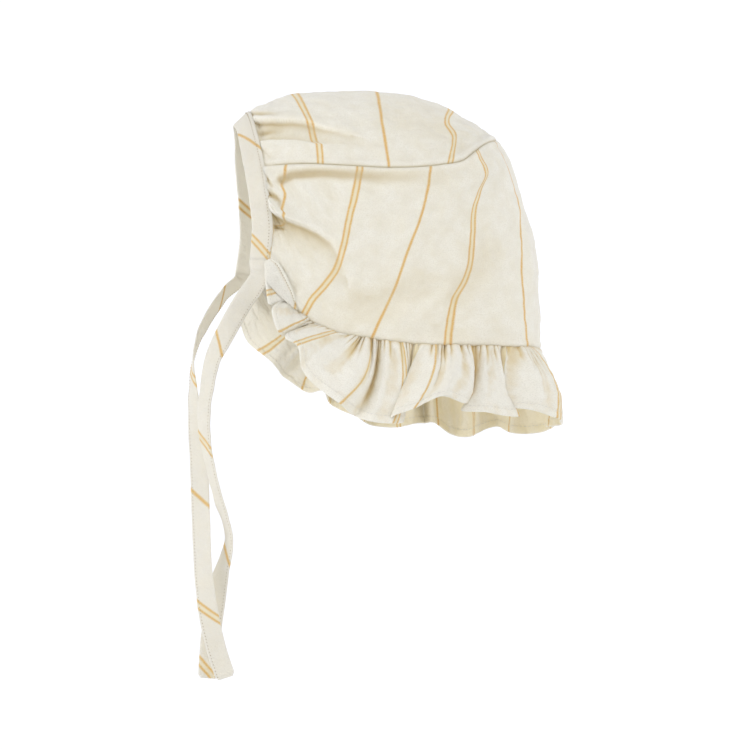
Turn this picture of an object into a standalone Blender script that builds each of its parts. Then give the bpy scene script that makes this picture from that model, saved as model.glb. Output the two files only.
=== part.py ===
"""A baby's cloth bonnet in its worn form: crown tongue, side and back panel, neck ruffle,
face binding, two ties and two corner facings, each a closed wall of cloth.

The face looks along -X and +Z is up. The origin is where the top of the head meets the inside
of the crown. The wearer's left is at -Y.
"""

import math

import bmesh
import bpy
import numpy as np

# Driving sizes in metres
BONNET_LENGTH = 0.170     # face seam at the top to the back of the head
BONNET_HEIGHT = 0.150     # top of the crown to the neck seam at the nape
BONNET_BREADTH = 0.120    # widest, over the ears
CLOTH_WALL = 0.0012       # crown and side cloth with their turned edges
RUFFLE_DEPTH = 0.046      # neck seam to hem
RUFFLE_WALL = 0.0010
BINDING_WIDTH = 0.0120
BINDING_WALL = 0.0016     # folded tape, thicker than the cloth that it binds
TIE_DROP = 0.238          # lower end of the binding to the lower end of a tie
TIE_WIDTH = 0.0115
TIE_WALL = 0.0012
FACING_LENGTH = 0.032
FACING_WIDTH = 0.0080
FACING_WALL = 0.0008
FOLD_DEPTH = 0.0030       # deepest dent in the side cloth
FOLD_WIDTH = 0.0075       # half width of a middling dent
JAW_SWAY = 0.0045         # how far the right jaw corner hangs nearer to the face than the left
SEAM_GAP = 0.0003         # clear space between two pieces that are sewn together

# Shape of the form, without a unit
HEAD_POINT = 0.47         # share of the length where the top of the head touches
FULLNESS = 2.2            # 2 is an ellipsoid, higher values are squarer
RUFFLE_START = 0.012      # share of the half neck seam left free beside the tie
BINDING_CURL = 0.10       # how far the free edge of the binding turns in, share of its width
DENT_RISE = (3, 5)        # how steeply the dents start at the sewn edges, along rows and columns
LEAF_SKEW = 0.7           # below 1 the widest place of a facing lies nearer to the jaw corner
LEAF_END = 0.12           # width left at the ends of a facing, share of its width

# Number of grid steps
SIDE_STEPS = 26           # face edge to the middle of the back
SIDE_ROWS = 13            # neck seam to crown seam
CROWN_STEPS = 16          # seam to seam over the top
RUFFLE_SPLITS = 4         # ruffle steps for each step of the panel above it
RUFFLE_ROWS = 5
TIE_STEPS = 36
FACING_STEPS = 10
FACING_ROWS = 3

# Side view of the form, each row (along, down): shares of the length from the face seam and of
# the height from the top of the crown
CENTRE = (0.503, 0.661)
CROWN_TOP = (
    (0.000, 0.080), (0.058, 0.044), (0.178, 0.008), (0.315, -0.003), (0.470, 0.000),
    (0.590, 0.022), (0.657, 0.049), (0.726, 0.089), (0.795, 0.135),
)
BACK = (
    (0.853, 0.186), (0.882, 0.230), (0.904, 0.286), (0.931, 0.383), (0.959, 0.480),
    (0.983, 0.576), (0.997, 0.692), (1.000, 0.809), (1.000, 0.925), (0.997, 1.000),
)
# Where the form would close below the neck and before the face, which no cloth follows
UNCUT_REST = (
    (0.806, 1.253), (0.503, 1.385), (0.178, 1.298), (-0.089, 1.079), (-0.227, 0.897),
    (-0.318, 0.692), (-0.255, 0.511), (-0.192, 0.375), (-0.128, 0.232), (-0.041, 0.128),
)
FACE_EDGE = (
    (0.000, 0.080), (0.017, 0.182), (0.034, 0.290), (0.048, 0.405), (0.062, 0.545),
    (0.055, 0.685),
)
CROWN_SEAM = (
    (0.154, 0.314), (0.315, 0.322), (0.459, 0.329), (0.634, 0.313), (0.714, 0.291),
    (0.754, 0.254), (0.801, 0.214),
)
CROWN_SEAM_START = 0.318  # down share where the crown seam leaves the face edge
NECK_SEAM = (
    (0.103, 0.797), (0.151, 0.878), (0.253, 0.956), (0.394, 0.986), (0.521, 1.002),
    (0.651, 1.010), (0.760, 1.006), (0.863, 1.004), (0.949, 1.002),
)

# Dents of the side cloth, each row (side, along, down, along, down, width, depth): -1 is the
# wearer's left, the two ends are shares as above, then shares of FOLD_WIDTH and FOLD_DEPTH
DENTS = (
    (-1, 0.10, 0.355, 0.62, 0.355, 0.8, 0.45),
    (-1, 0.09, 0.500, 0.23, 0.585, 0.9, 1.00),
    (-1, 0.23, 0.585, 0.32, 0.700, 1.3, 0.90),
    (-1, 0.36, 0.850, 0.56, 0.770, 1.4, 0.60),
    (-1, 0.71, 0.800, 0.80, 0.650, 1.4, 0.55),
    (1, 0.12, 0.360, 0.60, 0.350, 0.9, 0.45),
    (1, 0.12, 0.560, 0.34, 0.690, 1.3, 0.80),
    (1, 0.50, 0.820, 0.70, 0.720, 1.5, 0.55),
)

# Ruffle hem, each row (seam, forward, fall, flare): share of the half seam from the jaw corner
# to the nape, then shares of RUFFLE_DEPTH toward the face, down and away from the neck
RUFFLE_LEFT = (
    (0.000, 0.16, 0.44, 0.20), (0.050, 0.16, 0.40, 0.32), (0.100, 0.20, 0.24, 0.16),
    (0.150, 0.34, 0.14, 0.44), (0.200, 0.40, 0.24, 0.20), (0.250, 0.48, 0.16, 0.46),
    (0.285, 0.52, 0.21, 0.42), (0.312, 0.56, 0.34, 0.16), (0.345, 0.48, 0.59, 0.40),
    (0.384, 0.39, 0.81, 0.34), (0.408, 0.26, 0.94, 0.08), (0.440, 0.20, 0.98, 0.30),
    (0.466, 0.12, 0.93, 0.12), (0.492, 0.10, 0.94, 0.32), (0.525, 0.10, 0.82, 0.06),
    (0.570, 0.20, 0.76, 0.48), (0.625, 0.15, 0.66, 0.68), (0.662, 0.16, 0.70, 0.56),
    (0.692, 0.17, 0.82, 0.14), (0.725, 0.20, 0.87, 0.48), (0.762, -0.02, 0.89, 0.36),
    (0.788, 0.02, 0.79, 0.06), (0.835, 0.15, 0.77, 0.50), (0.900, 0.14, 0.82, 0.48),
)
RUFFLE_NAPE = (1.000, 0.00, 0.92, 0.27)
RUFFLE_RIGHT = (
    (0.000, 0.20, 0.31, 0.34), (0.085, 0.26, 0.26, 0.24), (0.150, 0.27, 0.24, 0.44),
    (0.205, 0.26, 0.34, 0.20), (0.260, 0.23, 0.42, 0.46), (0.295, 0.15, 0.56, 0.38),
    (0.325, 0.14, 0.54, 0.12), (0.360, 0.14, 0.69, 0.36), (0.400, 0.05, 0.83, 0.12),
    (0.445, 0.04, 0.90, 0.36), (0.490, -0.08, 0.91, 0.20), (0.530, -0.10, 0.86, 0.06),
    (0.560, -0.06, 0.83, 0.38), (0.590, -0.06, 0.84, 0.10), (0.628, -0.05, 0.97, 0.34),
    (0.682, -0.04, 1.03, 0.28), (0.724, -0.02, 1.00, 0.05), (0.772, 0.06, 0.91, 0.30),
    (0.820, 0.04, 1.00, 0.16), (0.880, 0.12, 1.02, 0.42), (0.945, 0.06, 0.98, 0.34),
)

# Ties, each row (fall, forward, inward, turn): shares of TIE_DROP, share of the way in from
# the tie's own corner to the middle plane, and degrees that the tape is turned from side-on
TIE_LEFT = (
    (0.000, 0.000, 0.00, 20.0), (0.046, 0.004, 0.05, 30.0), (0.097, 0.037, 0.23, 14.0),
    (0.172, 0.078, 0.52, 30.0), (0.221, 0.102, 0.70, 44.0), (0.295, 0.117, 0.84, 49.0),
    (0.383, 0.125, 0.86, 55.0), (0.466, 0.114, 0.86, 67.0), (0.560, 0.090, 0.93, 66.0),
    (0.664, 0.061, 1.03, 71.0), (0.753, 0.081, 1.08, 38.0), (0.814, 0.092, 1.10, 18.0),
    (0.900, 0.104, 1.10, 8.0), (1.000, 0.111, 1.10, 3.0),
)
TIE_RIGHT = (
    (0.000, 0.000, 0.00, 20.0), (0.020, 0.022, 0.07, 35.0), (0.048, 0.053, 0.23, 55.0),
    (0.095, 0.089, 0.43, 66.0), (0.160, 0.128, 0.66, 76.0), (0.238, 0.149, 0.84, 92.0),
    (0.291, 0.149, 0.88, 108.0), (0.379, 0.141, 0.88, 138.0), (0.480, 0.134, 0.90, 150.0),
    (0.627, 0.129, 0.98, 153.0), (0.763, 0.123, 1.08, 153.0), (0.850, 0.111, 1.10, 168.0),
    (0.925, 0.094, 1.10, 180.0), (1.000, 0.070, 1.10, 180.0),
)

# Colours: the cloth is one cream cotton, a little deeper where it lies double
CREAM = (0.80, 0.75, 0.66)
TAPE_CREAM = (0.76, 0.71, 0.61)
CLOTH_ROUGHNESS = 0.9


def clear_scene():
    """Remove every object of the start-up scene."""
    for item in list(bpy.data.objects):
        bpy.data.objects.remove(item, do_unlink=True)


def unit(vectors):
    """Scale each vector to length one."""
    return vectors / np.linalg.norm(vectors, axis=-1, keepdims=True)


def smooth(knots, rows, at):
    """Cubic curve through rows set at rising knots, read at the given places."""
    knots = np.asarray(knots, float)
    rows = np.asarray(rows, float)
    at = np.asarray(at, float)
    slopes = np.gradient(rows, knots, axis=0)
    cell = np.clip(np.searchsorted(knots, at, side="right") - 1, 0, len(knots) - 2)
    width = knots[cell + 1] - knots[cell]
    t = (at - knots[cell]) / width
    if rows.ndim > 1:
        t = t[..., None]
        width = width[..., None]
    start = (1 + 2 * t) * (1 - t) ** 2 * rows[cell] + t * (1 - t) ** 2 * width * slopes[cell]
    end = t * t * (3 - 2 * t) * rows[cell + 1] - t * t * (1 - t) * width * slopes[cell + 1]
    return start + end


def side_point(along, down):
    """Side view place (x, z) of shares of the length and the height."""
    x = (np.asarray(along, float) - HEAD_POINT) * BONNET_LENGTH
    z = CLOTH_WALL - np.asarray(down, float) * BONNET_HEIGHT
    return np.stack([x, z], axis=-1)


def side_points(rows):
    """Side view places of a table of (along, down) rows."""
    table = np.array(rows, float)
    return side_point(table[:, 0], table[:, 1])


def rim_tables():
    """Turn angle and radius of each row of the closed side outline about the centre."""
    spokes = side_points(CROWN_TOP + BACK + UNCUT_REST) - side_point(*CENTRE)
    turns = -np.unwrap(np.arctan2(spokes[:, 1], spokes[:, 0]))
    radii = np.linalg.norm(spokes, axis=1)
    full = 2 * math.pi
    turns = np.concatenate([turns[-3:] - full, turns, turns[:3] + full])
    radii = np.concatenate([radii[-3:], radii, radii[:3]])
    return turns, radii


RIM_TURNS, RIM_RADII = rim_tables()
FRONT_TURN = RIM_TURNS[3]
TONGUE_TURN = RIM_TURNS[3 + len(CROWN_TOP)]
NAPE_TURN = RIM_TURNS[2 + len(CROWN_TOP) + len(BACK)]


def rim_radius(turn):
    """Radius of the side outline at a turn angle, for angles from one lap."""
    lap = np.mod(np.asarray(turn, float) - FRONT_TURN, 2 * math.pi) + FRONT_TURN
    return smooth(RIM_TURNS, RIM_RADII, lap)


def rim_point(turn):
    """Side view place on the outline at a turn angle."""
    turn = np.asarray(turn, float)
    spoke = np.stack([np.cos(turn), -np.sin(turn)], axis=-1)
    return side_point(*CENTRE) + rim_radius(turn)[..., None] * spoke


def reach(places):
    """How far each side view place lies from the centre, as a share of the way to the outline."""
    spokes = places - side_point(*CENTRE)
    turn = -np.arctan2(spokes[..., 1], spokes[..., 0])
    return np.linalg.norm(spokes, axis=-1) / rim_radius(turn)


def lift(places, side):
    """Carry side view places out to the form on one side of the middle plane."""
    share = np.clip(1 - reach(places) ** FULLNESS, 0, None)
    y = side * BONNET_BREADTH / 2 * np.sqrt(share)
    return np.stack([places[..., 0], y, places[..., 1]], axis=-1)


def form_normal(points):
    """Outward normal of the form at points on it."""
    small = 1e-5
    places = points[..., [0, 2]]
    gradient = np.empty(points.shape)
    for axis, shift in ((0, (small, 0)), (2, (0, small))):
        ahead = reach(places + shift) ** FULLNESS
        behind = reach(places - shift) ** FULLNESS
        gradient[..., axis] = (ahead - behind) / (2 * small)
    gradient[..., 1] = 2 * points[..., 1] / (BONNET_BREADTH / 2) ** 2
    return unit(gradient)


def curve_by_length(points, shares):
    """Places at shares of the length of a smooth curve through the points."""
    knots = np.concatenate([[0], np.cumsum(np.linalg.norm(np.diff(points, axis=0), axis=1))])
    return smooth(knots / knots[-1], points, shares)


def face_edge(down):
    """Side view place on the face edge at a share of the height."""
    table = np.array(FACE_EDGE)
    along = smooth(table[:, 1], table[:, 0], down)
    return side_point(along, down)


def crown_seam(share):
    """Side view place on the seam between crown and side, from the face edge to its back end."""
    start = face_edge(CROWN_SEAM_START)[None]
    end = rim_point(TONGUE_TURN)[None]
    return curve_by_length(np.concatenate([start, side_points(CROWN_SEAM), end]), share)


def neck_seam(share):
    """Side view place on the neck seam, from the jaw corner to the nape."""
    start = side_points(FACE_EDGE)[-1:]
    end = rim_point(NAPE_TURN)[None]
    return curve_by_length(np.concatenate([start, side_points(NECK_SEAM), end]), share)


def mix(low, high, share):
    """Straight blend from low to high."""
    return low * (1 - share) + high * share


def round_steps(count):
    """Even steps round the form from -1 to 1 and the matching share of the way to the outline."""
    around = np.linspace(-1, 1, count + 1)
    return around, np.cos(math.pi / 2 * around)


def side_grid():
    """Grid of the side and back cloth: rows from neck to crown, columns from left to right."""
    around, share = round_steps(2 * SIDE_STEPS)
    share = share[None, :, None]
    rise = np.linspace(0, 1, SIDE_ROWS + 1)[:, None, None]
    face = face_edge(mix(FACE_EDGE[-1][1], CROWN_SEAM_START, rise[:, 0, 0]))[:, None]
    back = rim_point(mix(NAPE_TURN, TONGUE_TURN, rise[:, 0, 0]))[:, None]
    low = neck_seam(share[0, :, 0])[None]
    high = crown_seam(share[0, :, 0])[None]
    corners = mix(mix(face[0], back[0], share), mix(face[-1], back[-1], share), rise)
    places = mix(low, high, rise) + mix(face, back, share) - corners
    return lift(places, np.sign(around)[None])


def crown_grid():
    """Grid of the crown: rows from the face edge to the back tip, columns from left to right."""
    around, share = round_steps(CROWN_STEPS)
    share = share[None, :, None]
    seam = crown_seam(round_steps(2 * SIDE_STEPS)[1][:SIDE_STEPS + 1])[:, None]
    back = np.linspace(0, 1, SIDE_STEPS + 1)
    top = rim_point(mix(FRONT_TURN, TONGUE_TURN, back))[:, None]
    front = face_edge(mix(CROWN_SEAM_START, FACE_EDGE[0][1], share[0, :, 0]))[None]
    bow = front - mix(seam[:1], top[:1], share)
    places = mix(seam, top, share) + (1 - back)[:, None, None] ** 2 * bow
    return lift(places, np.sign(around)[None])


def edge_inward(points, normals, inside):
    """Unit directions in the cloth, square to an edge and towards the points inside it."""
    along = unit(np.gradient(points, axis=0))
    across = unit(np.cross(normals, along))
    return across * np.sign(np.sum(across * (inside - points), axis=-1))[:, None]


def pull_back(grid, normals, edges):
    """Move the named edge rows of a grid inward by half of the seam gap."""
    moved = grid.copy()
    for edge in edges:
        view, cloth, up = (a if edge in ("first", "last") else a.swapaxes(0, 1)
                           for a in (moved, grid, normals))
        row, inner = (0, 1) if edge in ("first", "left") else (-1, -2)
        view[row] += edge_inward(cloth[row], up[row], cloth[inner]) * SEAM_GAP / 2
    return moved


def dent_depth(points):
    """How far the cloth is pushed in at points on the form."""
    depth = np.zeros(points.shape[:-1])
    places = points[..., [0, 2]]
    for side, along_a, down_a, along_b, down_b, width, share in DENTS:
        start = side_point(along_a, down_a)
        run = side_point(along_b, down_b) - start
        foot = np.clip((places - start) @ run / (run @ run), 0, 1)
        away = np.linalg.norm(places - start - foot[..., None] * run, axis=-1)
        dent = share * FOLD_DEPTH * np.exp(-(away / (width * FOLD_WIDTH)) ** 2)
        depth += np.where(points[..., 1] * side > 0, dent, 0)
    return depth


def sway(points):
    """Carry the cloth about the right jaw corner towards the face, as it hangs when worn."""
    beside = np.clip(points[..., 1] / (BONNET_BREADTH / 2), 0, 1)
    before = np.clip(-points[..., 0] / (HEAD_POINT * BONNET_LENGTH), 0, 1)
    below = np.clip((CLOTH_WALL - points[..., 2]) / (FACE_EDGE[-1][1] * BONNET_HEIGHT), 0, 1)
    moved = points.copy()
    moved[..., 0] -= JAW_SWAY * (beside * before * below) ** 2
    return moved


def edge_fade(grid_shape):
    """Zero on the sewn edges of a grid and one inside it."""
    rows, columns = (np.clip(rise * np.sin(math.pi * np.linspace(0, 1, count)), 0, 1)
                     for rise, count in zip(DENT_RISE, grid_shape))
    return rows[:, None] * columns[None]


def read_between(places, knots, rows):
    """Rows of vectors read at places between their knots, in straight steps."""
    return np.stack([np.interp(places, knots, rows[:, k]) for k in range(3)], axis=1)


def grid_normals(grid):
    """Unit normals of a grid from its own rows and columns."""
    return unit(np.cross(np.gradient(grid, axis=1), np.gradient(grid, axis=0)))


def cloth_material(name, colour):
    """Matt cotton in one colour."""
    material = bpy.data.materials.new(name)
    material.use_nodes = True
    shader = material.node_tree.nodes["Principled BSDF"]
    shader.inputs["Base Color"].default_value = (*colour, 1)
    shader.inputs["Roughness"].default_value = CLOTH_ROUGHNESS
    shader.inputs["Metallic"].default_value = 0
    return material


def add_wall(name, outer, inner, colour):
    """Make one closed piece of cloth from its outer and inner grids."""
    rows, columns = outer.shape[:2]
    mesh = bpy.data.meshes.new(name)
    bm = bmesh.new()
    skins = [[[bm.verts.new(point) for point in row] for row in sway(grid)]
             for grid in (outer, inner)]
    for skin in skins:
        for i in range(rows - 1):
            for j in range(columns - 1):
                bm.faces.new((skin[i][j], skin[i][j + 1], skin[i + 1][j + 1], skin[i + 1][j]))
    border = [(0, j) for j in range(columns)] + [(i, columns - 1) for i in range(1, rows)]
    border += [(rows - 1, j) for j in range(columns - 2, -1, -1)]
    border += [(i, 0) for i in range(rows - 2, 0, -1)]
    for (i, j), (k, m) in zip(border, border[1:] + border[:1]):
        bm.faces.new((skins[0][i][j], skins[0][k][m], skins[1][k][m], skins[1][i][j]))
    bmesh.ops.remove_doubles(bm, verts=bm.verts, dist=1e-7)
    bmesh.ops.recalc_face_normals(bm, faces=bm.faces)
    bm.to_mesh(mesh)
    bm.free()
    mesh.shade_smooth()
    mesh.set_sharp_from_angle(angle=math.radians(50))
    mesh.materials.append(cloth_material(name, colour))
    item = bpy.data.objects.new(name, mesh)
    bpy.context.scene.collection.objects.link(item)
    return item


def build_side():
    """The side and back cloth, with its dents."""
    grid = side_grid()
    normals = form_normal(grid)
    cloth = pull_back(grid, normals, ("first", "last", "left", "right"))
    depth = dent_depth(grid) * edge_fade(grid.shape)
    outer = cloth - normals * depth[..., None]
    add_wall("side_back_panel", outer, outer - normals * CLOTH_WALL, CREAM)


def build_crown():
    """The crown tongue, whose last row closes to one tip."""
    grid = crown_grid()
    normals = form_normal(grid)
    cloth = pull_back(grid, normals, ("first", "left", "right"))
    tip = grid[-1, :1] + tongue_tip_inward() * SEAM_GAP / 2
    cloth[-1] = tip
    add_wall("crown_panel", cloth, cloth - normals * CLOTH_WALL, CREAM)


def tongue_tip_inward():
    """Direction in the cloth from the back tip of the crown towards the face."""
    turn = TONGUE_TURN - np.array([0.0, 0.01])
    step = np.diff(rim_point(turn), axis=0)[0]
    return unit(np.array([step[0], 0, step[1]]))


def arch_stations():
    """Face edge from the left jaw corner over the top to the right one, with its directions."""
    side = side_grid()
    crown = crown_grid()
    edge = np.concatenate([side[:, 0], crown[0, 1:-1], side[::-1, -1]])
    normals = form_normal(edge)
    inside = np.concatenate([side[:, 1], crown[1, 1:-1], side[::-1, -2]])
    return edge, normals, -edge_inward(edge, normals, inside)


def build_binding():
    """The folded tape before the face edge, with its free edge turned in a little."""
    edge, normals, forward = arch_stations()
    out = np.array([0.0, 0.5, 1.0])[None, :, None]
    curl = BINDING_CURL * BINDING_WIDTH * out ** 2
    step = SEAM_GAP / 2 + out * BINDING_WIDTH
    proud = (BINDING_WALL - CLOTH_WALL) / 2
    outer = edge[:, None] + forward[:, None] * step + normals[:, None] * (proud - curl)
    add_wall("face_binding", outer, outer - normals[:, None] * BINDING_WALL, TAPE_CREAM)


def ruffle_hem(place):
    """Forward, fall and flare of the hem at places from -1, the left corner, to 1, the right."""
    left = [(seam - 1, *rest) for seam, *rest in RUFFLE_LEFT]
    nape = [(0.0, *RUFFLE_NAPE[1:])]
    right = [(1 - seam, *rest) for seam, *rest in reversed(RUFFLE_RIGHT)]
    table = np.array(left + nape + right)
    return smooth(table[:, 0], table[:, 1:], place)


def half_shares(points, middle):
    """Place of each point of a path: -1 at its start, 0 at the middle index, 1 at its end."""
    walked = np.concatenate([[0], np.cumsum(np.linalg.norm(np.diff(points, axis=0), axis=1))])
    before = walked[:middle + 1] / walked[middle] - 1
    after = (walked[middle + 1:] - walked[middle]) / (walked[-1] - walked[middle])
    return np.concatenate([before, after])


def build_ruffle():
    """The gathered strip under the neck seam."""
    grid = side_grid()
    knots = np.arange(grid.shape[1])
    stations = np.linspace(0, knots[-1], knots[-1] * RUFFLE_SPLITS + 1)
    panel_up = edge_inward(grid[0], form_normal(grid[0]), grid[1])
    seam = read_between(stations, knots, grid[0])
    normals = unit(read_between(stations, knots, form_normal(grid[0])))
    down = -unit(read_between(stations, knots, panel_up))
    place = half_shares(seam, SIDE_STEPS * RUFFLE_SPLITS)
    kept = np.abs(place) <= 1 - RUFFLE_START
    seam, normals, down, place = seam[kept], normals[kept], down[kept], place[kept]
    away = unit(normals * (1, 1, 0))
    forward, fall, flare = ruffle_hem(place).T[:, :, None, None] * RUFFLE_DEPTH
    depth = np.linspace(0, 1, RUFFLE_ROWS + 1)[None, :, None]
    swing = np.sin(math.pi / 2 * depth)
    outer = seam[:, None] + down[:, None] * SEAM_GAP / 2
    outer = outer + forward * depth * np.array([-1, 0, 0]) + fall * depth * np.array([0, 0, -1])
    outer = outer + flare * swing * away[:, None]
    face = grid_normals(outer)
    face *= np.sign(np.sum(face * normals[:, None], axis=(1, 2), keepdims=True))
    face[:, 0] = normals
    add_wall("neck_ruffle", outer, outer - face * RUFFLE_WALL, CREAM)


def build_tie(name, side, rows):
    """One tie: flat tape that leaves the lower end of the binding and twists as it hangs."""
    edge, normals, forward = arch_stations()
    corner = 0 if side < 0 else -1
    curl = BINDING_CURL * BINDING_WIDTH / 4
    start = edge[corner] + forward[corner] * BINDING_WIDTH / 2 - normals[corner] * curl
    start = start - normals[corner] * CLOTH_WALL / 2
    leave = unit(edge[corner] - edge[1 if side < 0 else -2])
    table = np.array(rows)
    fall = np.linspace(0, 1, TIE_STEPS + 1)
    forward_share, inward, turn = smooth(table[:, 0], table[:, 1:], fall).T
    path = np.stack([start[0] - forward_share * TIE_DROP,
                     start[1] * (1 - inward),
                     start[2] - fall * TIE_DROP], axis=-1) + leave * SEAM_GAP
    along = unit(np.gradient(path, axis=0))
    along[0] = leave
    turn = np.radians(turn)
    across = np.stack([np.cos(turn), side * np.sin(turn), np.zeros(len(turn))], axis=-1)
    across[0] = -forward[corner]
    across = unit(across - along * np.sum(across * along, axis=-1, keepdims=True))
    face = unit(np.cross(across, along))
    width = np.array([-0.5, 0.0, 0.5])[None, :, None] * TIE_WIDTH
    middle = path[:, None] + across[:, None] * width
    half = face[:, None] * TIE_WALL / 2
    add_wall(name, middle + half, middle - half, TAPE_CREAM)


def build_facing(name, side):
    """Leaf of cloth laid on the panel along the neck seam, beside the jaw corner."""
    grid = side_grid()
    seam = grid[0] if side < 0 else grid[0, ::-1]
    inner = grid[1] if side < 0 else grid[1, ::-1]
    walked = np.concatenate([[0], np.cumsum(np.linalg.norm(np.diff(seam, axis=0), axis=1))])
    place = np.linspace(SEAM_GAP, FACING_LENGTH, FACING_STEPS + 1)
    line = read_between(place, walked, seam)
    up = read_between(place, walked, edge_inward(seam, form_normal(seam), inner))
    leaf = np.clip(np.sin(math.pi * (place / FACING_LENGTH) ** LEAF_SKEW), LEAF_END, None)
    rise = np.linspace(0, 1, FACING_ROWS + 1)[None, :, None] * leaf[:, None, None] * FACING_WIDTH
    flat = line[:, None] + up[:, None] * (rise + SEAM_GAP)
    points = lift(flat[..., [0, 2]], side)
    normals = form_normal(points)
    low = points + normals * SEAM_GAP
    add_wall(name, low + normals * FACING_WALL, low, CREAM)


def main():
    """Build every piece of the bonnet."""
    clear_scene()
    build_crown()
    build_side()
    build_ruffle()
    build_binding()
    build_tie("tie_left", -1, TIE_LEFT)
    build_tie("tie_right", 1, TIE_RIGHT)
    build_facing("corner_facing_left", -1)
    build_facing("corner_facing_right", 1)


main()
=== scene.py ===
"""A baby's striped cotton bonnet as it looks when worn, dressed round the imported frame.

Lengths are in metres, +Z is up, the face looks along -X and the wearer's left is at -Y. Every
piece is a surface worked out on a grid of two parameters. The panels lie on the form of the
head, and folds, puckers and rolled seams push their cloth along its normals.
"""

import logging
import math
from dataclasses import dataclass
from enum import Enum
from functools import cached_property

import bpy
import numpy as np
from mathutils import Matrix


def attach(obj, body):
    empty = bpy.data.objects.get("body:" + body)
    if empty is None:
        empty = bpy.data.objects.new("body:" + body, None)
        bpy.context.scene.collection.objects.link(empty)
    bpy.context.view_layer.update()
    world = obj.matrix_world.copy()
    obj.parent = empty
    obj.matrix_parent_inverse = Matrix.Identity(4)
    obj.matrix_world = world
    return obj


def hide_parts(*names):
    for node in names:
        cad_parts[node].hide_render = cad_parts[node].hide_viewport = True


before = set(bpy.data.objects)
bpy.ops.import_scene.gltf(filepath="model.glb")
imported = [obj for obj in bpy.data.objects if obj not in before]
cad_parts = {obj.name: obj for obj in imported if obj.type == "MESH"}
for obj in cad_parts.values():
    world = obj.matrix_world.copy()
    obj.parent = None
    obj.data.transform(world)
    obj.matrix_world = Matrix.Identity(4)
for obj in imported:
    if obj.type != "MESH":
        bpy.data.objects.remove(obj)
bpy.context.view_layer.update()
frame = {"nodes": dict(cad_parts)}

LOG = logging.getLogger("bonnet")
Array = np.ndarray
Piece = bpy.types.Object
Finish = bpy.types.Material
Socket = bpy.types.NodeSocket
PITCH = 0.0385            # one stripe to the next, single and double by turns
LAP = 2 * math.pi

# Side view of the form, each row (along, down): shares of the length from the face seam and of
# the height from the top of the crown
CENTRE = (0.503, 0.661)
CROWN_TOP = (
    (0.000, 0.080), (0.058, 0.044), (0.178, 0.008), (0.315, -0.003), (0.470, 0.000),
    (0.590, 0.022), (0.657, 0.049), (0.726, 0.089), (0.795, 0.135),
)
BACK = (
    (0.853, 0.186), (0.882, 0.230), (0.904, 0.286), (0.931, 0.383), (0.959, 0.480),
    (0.983, 0.576), (0.997, 0.692), (1.000, 0.809), (1.000, 0.925), (0.997, 1.000),
)
UNCUT_REST = (
    (0.806, 1.253), (0.503, 1.385), (0.178, 1.298), (-0.089, 1.079), (-0.227, 0.897),
    (-0.318, 0.692), (-0.255, 0.511), (-0.192, 0.375), (-0.128, 0.232), (-0.041, 0.128),
)
FACE_EDGE = (
    (0.000, 0.080), (0.017, 0.182), (0.034, 0.290), (0.048, 0.405), (0.062, 0.545),
    (0.055, 0.685),
)
CROWN_SEAM = (
    (0.154, 0.314), (0.315, 0.322), (0.459, 0.329), (0.634, 0.313), (0.714, 0.291),
    (0.754, 0.254), (0.801, 0.214),
)
NECK_SEAM = (
    (0.103, 0.797), (0.151, 0.878), (0.253, 0.956), (0.394, 0.986), (0.521, 1.002),
    (0.651, 1.010), (0.760, 1.006), (0.863, 1.004), (0.949, 1.002),
)


class Side(Enum):
    """The wearer's left and right, with the sign of Y."""

    LEFT = -1
    RIGHT = 1


class Fold(Enum):
    """How a fold's section runs across its line."""

    VALLEY = "valley"      # an even groove
    RIDGE = "ridge"        # an even ridge
    LIP = "lip"            # a step: the upper side stands out and hangs over the lower one
    TUCK = "tuck"          # the same step with the lower side standing out


def unit(vectors: Array) -> Array:
    """Scale each vector to length one."""
    return vectors / np.linalg.norm(vectors, axis=-1, keepdims=True)


def smooth(knots: Array, rows: Array, at: Array, steady: bool = False) -> Array:
    """Cubic Hermite curve through rows at rising knots, with slopes by differences.

    Args:
        knots: rising places of the rows.
        rows: one value or vector for each knot.
        at: places to read.
        steady: take harmonic means of the slopes on both sides, so that nothing swings over.

    Returns:
        The values at the places read.
    """
    knots, rows, at = (np.asarray(a, float) for a in (knots, rows, at))
    slopes = np.gradient(rows, knots, axis=0)
    if steady:
        runs = np.diff(rows) / np.diff(knots)
        pairs = runs[1:] * runs[:-1]
        means = 2 * pairs / np.where(pairs > 0, runs[1:] + runs[:-1], 1)
        slopes = np.concatenate([runs[:1], np.where(pairs > 0, means, 0), runs[-1:]])
    cell = np.clip(np.searchsorted(knots, at, side="right") - 1, 0, len(knots) - 2)
    width = knots[cell + 1] - knots[cell]
    t = (at - knots[cell]) / width
    if rows.ndim > 1:
        t, width = t[..., None], width[..., None]
    start = (1 + 2 * t) * (1 - t) ** 2 * rows[cell] + t * (1 - t) ** 2 * width * slopes[cell]
    end = t * t * (3 - 2 * t) * rows[cell + 1] - t * t * (1 - t) * width * slopes[cell + 1]
    return start + end


def ramp(low: float, high: float, at: Array) -> Array:
    """Smooth step from 0 at low to 1 at high: three squares less two cubes."""
    t = np.clip((at - low) / (high - low), 0, 1)
    return t * t * (3 - 2 * t)


def mix(low: Array, high: Array, share: Array) -> Array:
    """Straight blend from low to high."""
    return low * (1 - share) + high * share


def crowded(count: int, *bells: tuple) -> Array:
    """Rising shares from 0 to 1, closer together about some places.

    How close they lie is one plus a bell for each of those places.

    Args:
        count: how many shares.
        bells: rows (place, width, weight).

    Returns:
        The shares.
    """
    t = np.linspace(0, 1, 4001)
    crowd = 1 + sum(weight * np.exp(-((t - place) / width) ** 2) for place, width, weight in bells)
    total = np.concatenate([[0], np.cumsum((crowd[1:] + crowd[:-1]) / 2)])
    return np.interp(np.linspace(0, total[-1], count), total, t)


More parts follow.
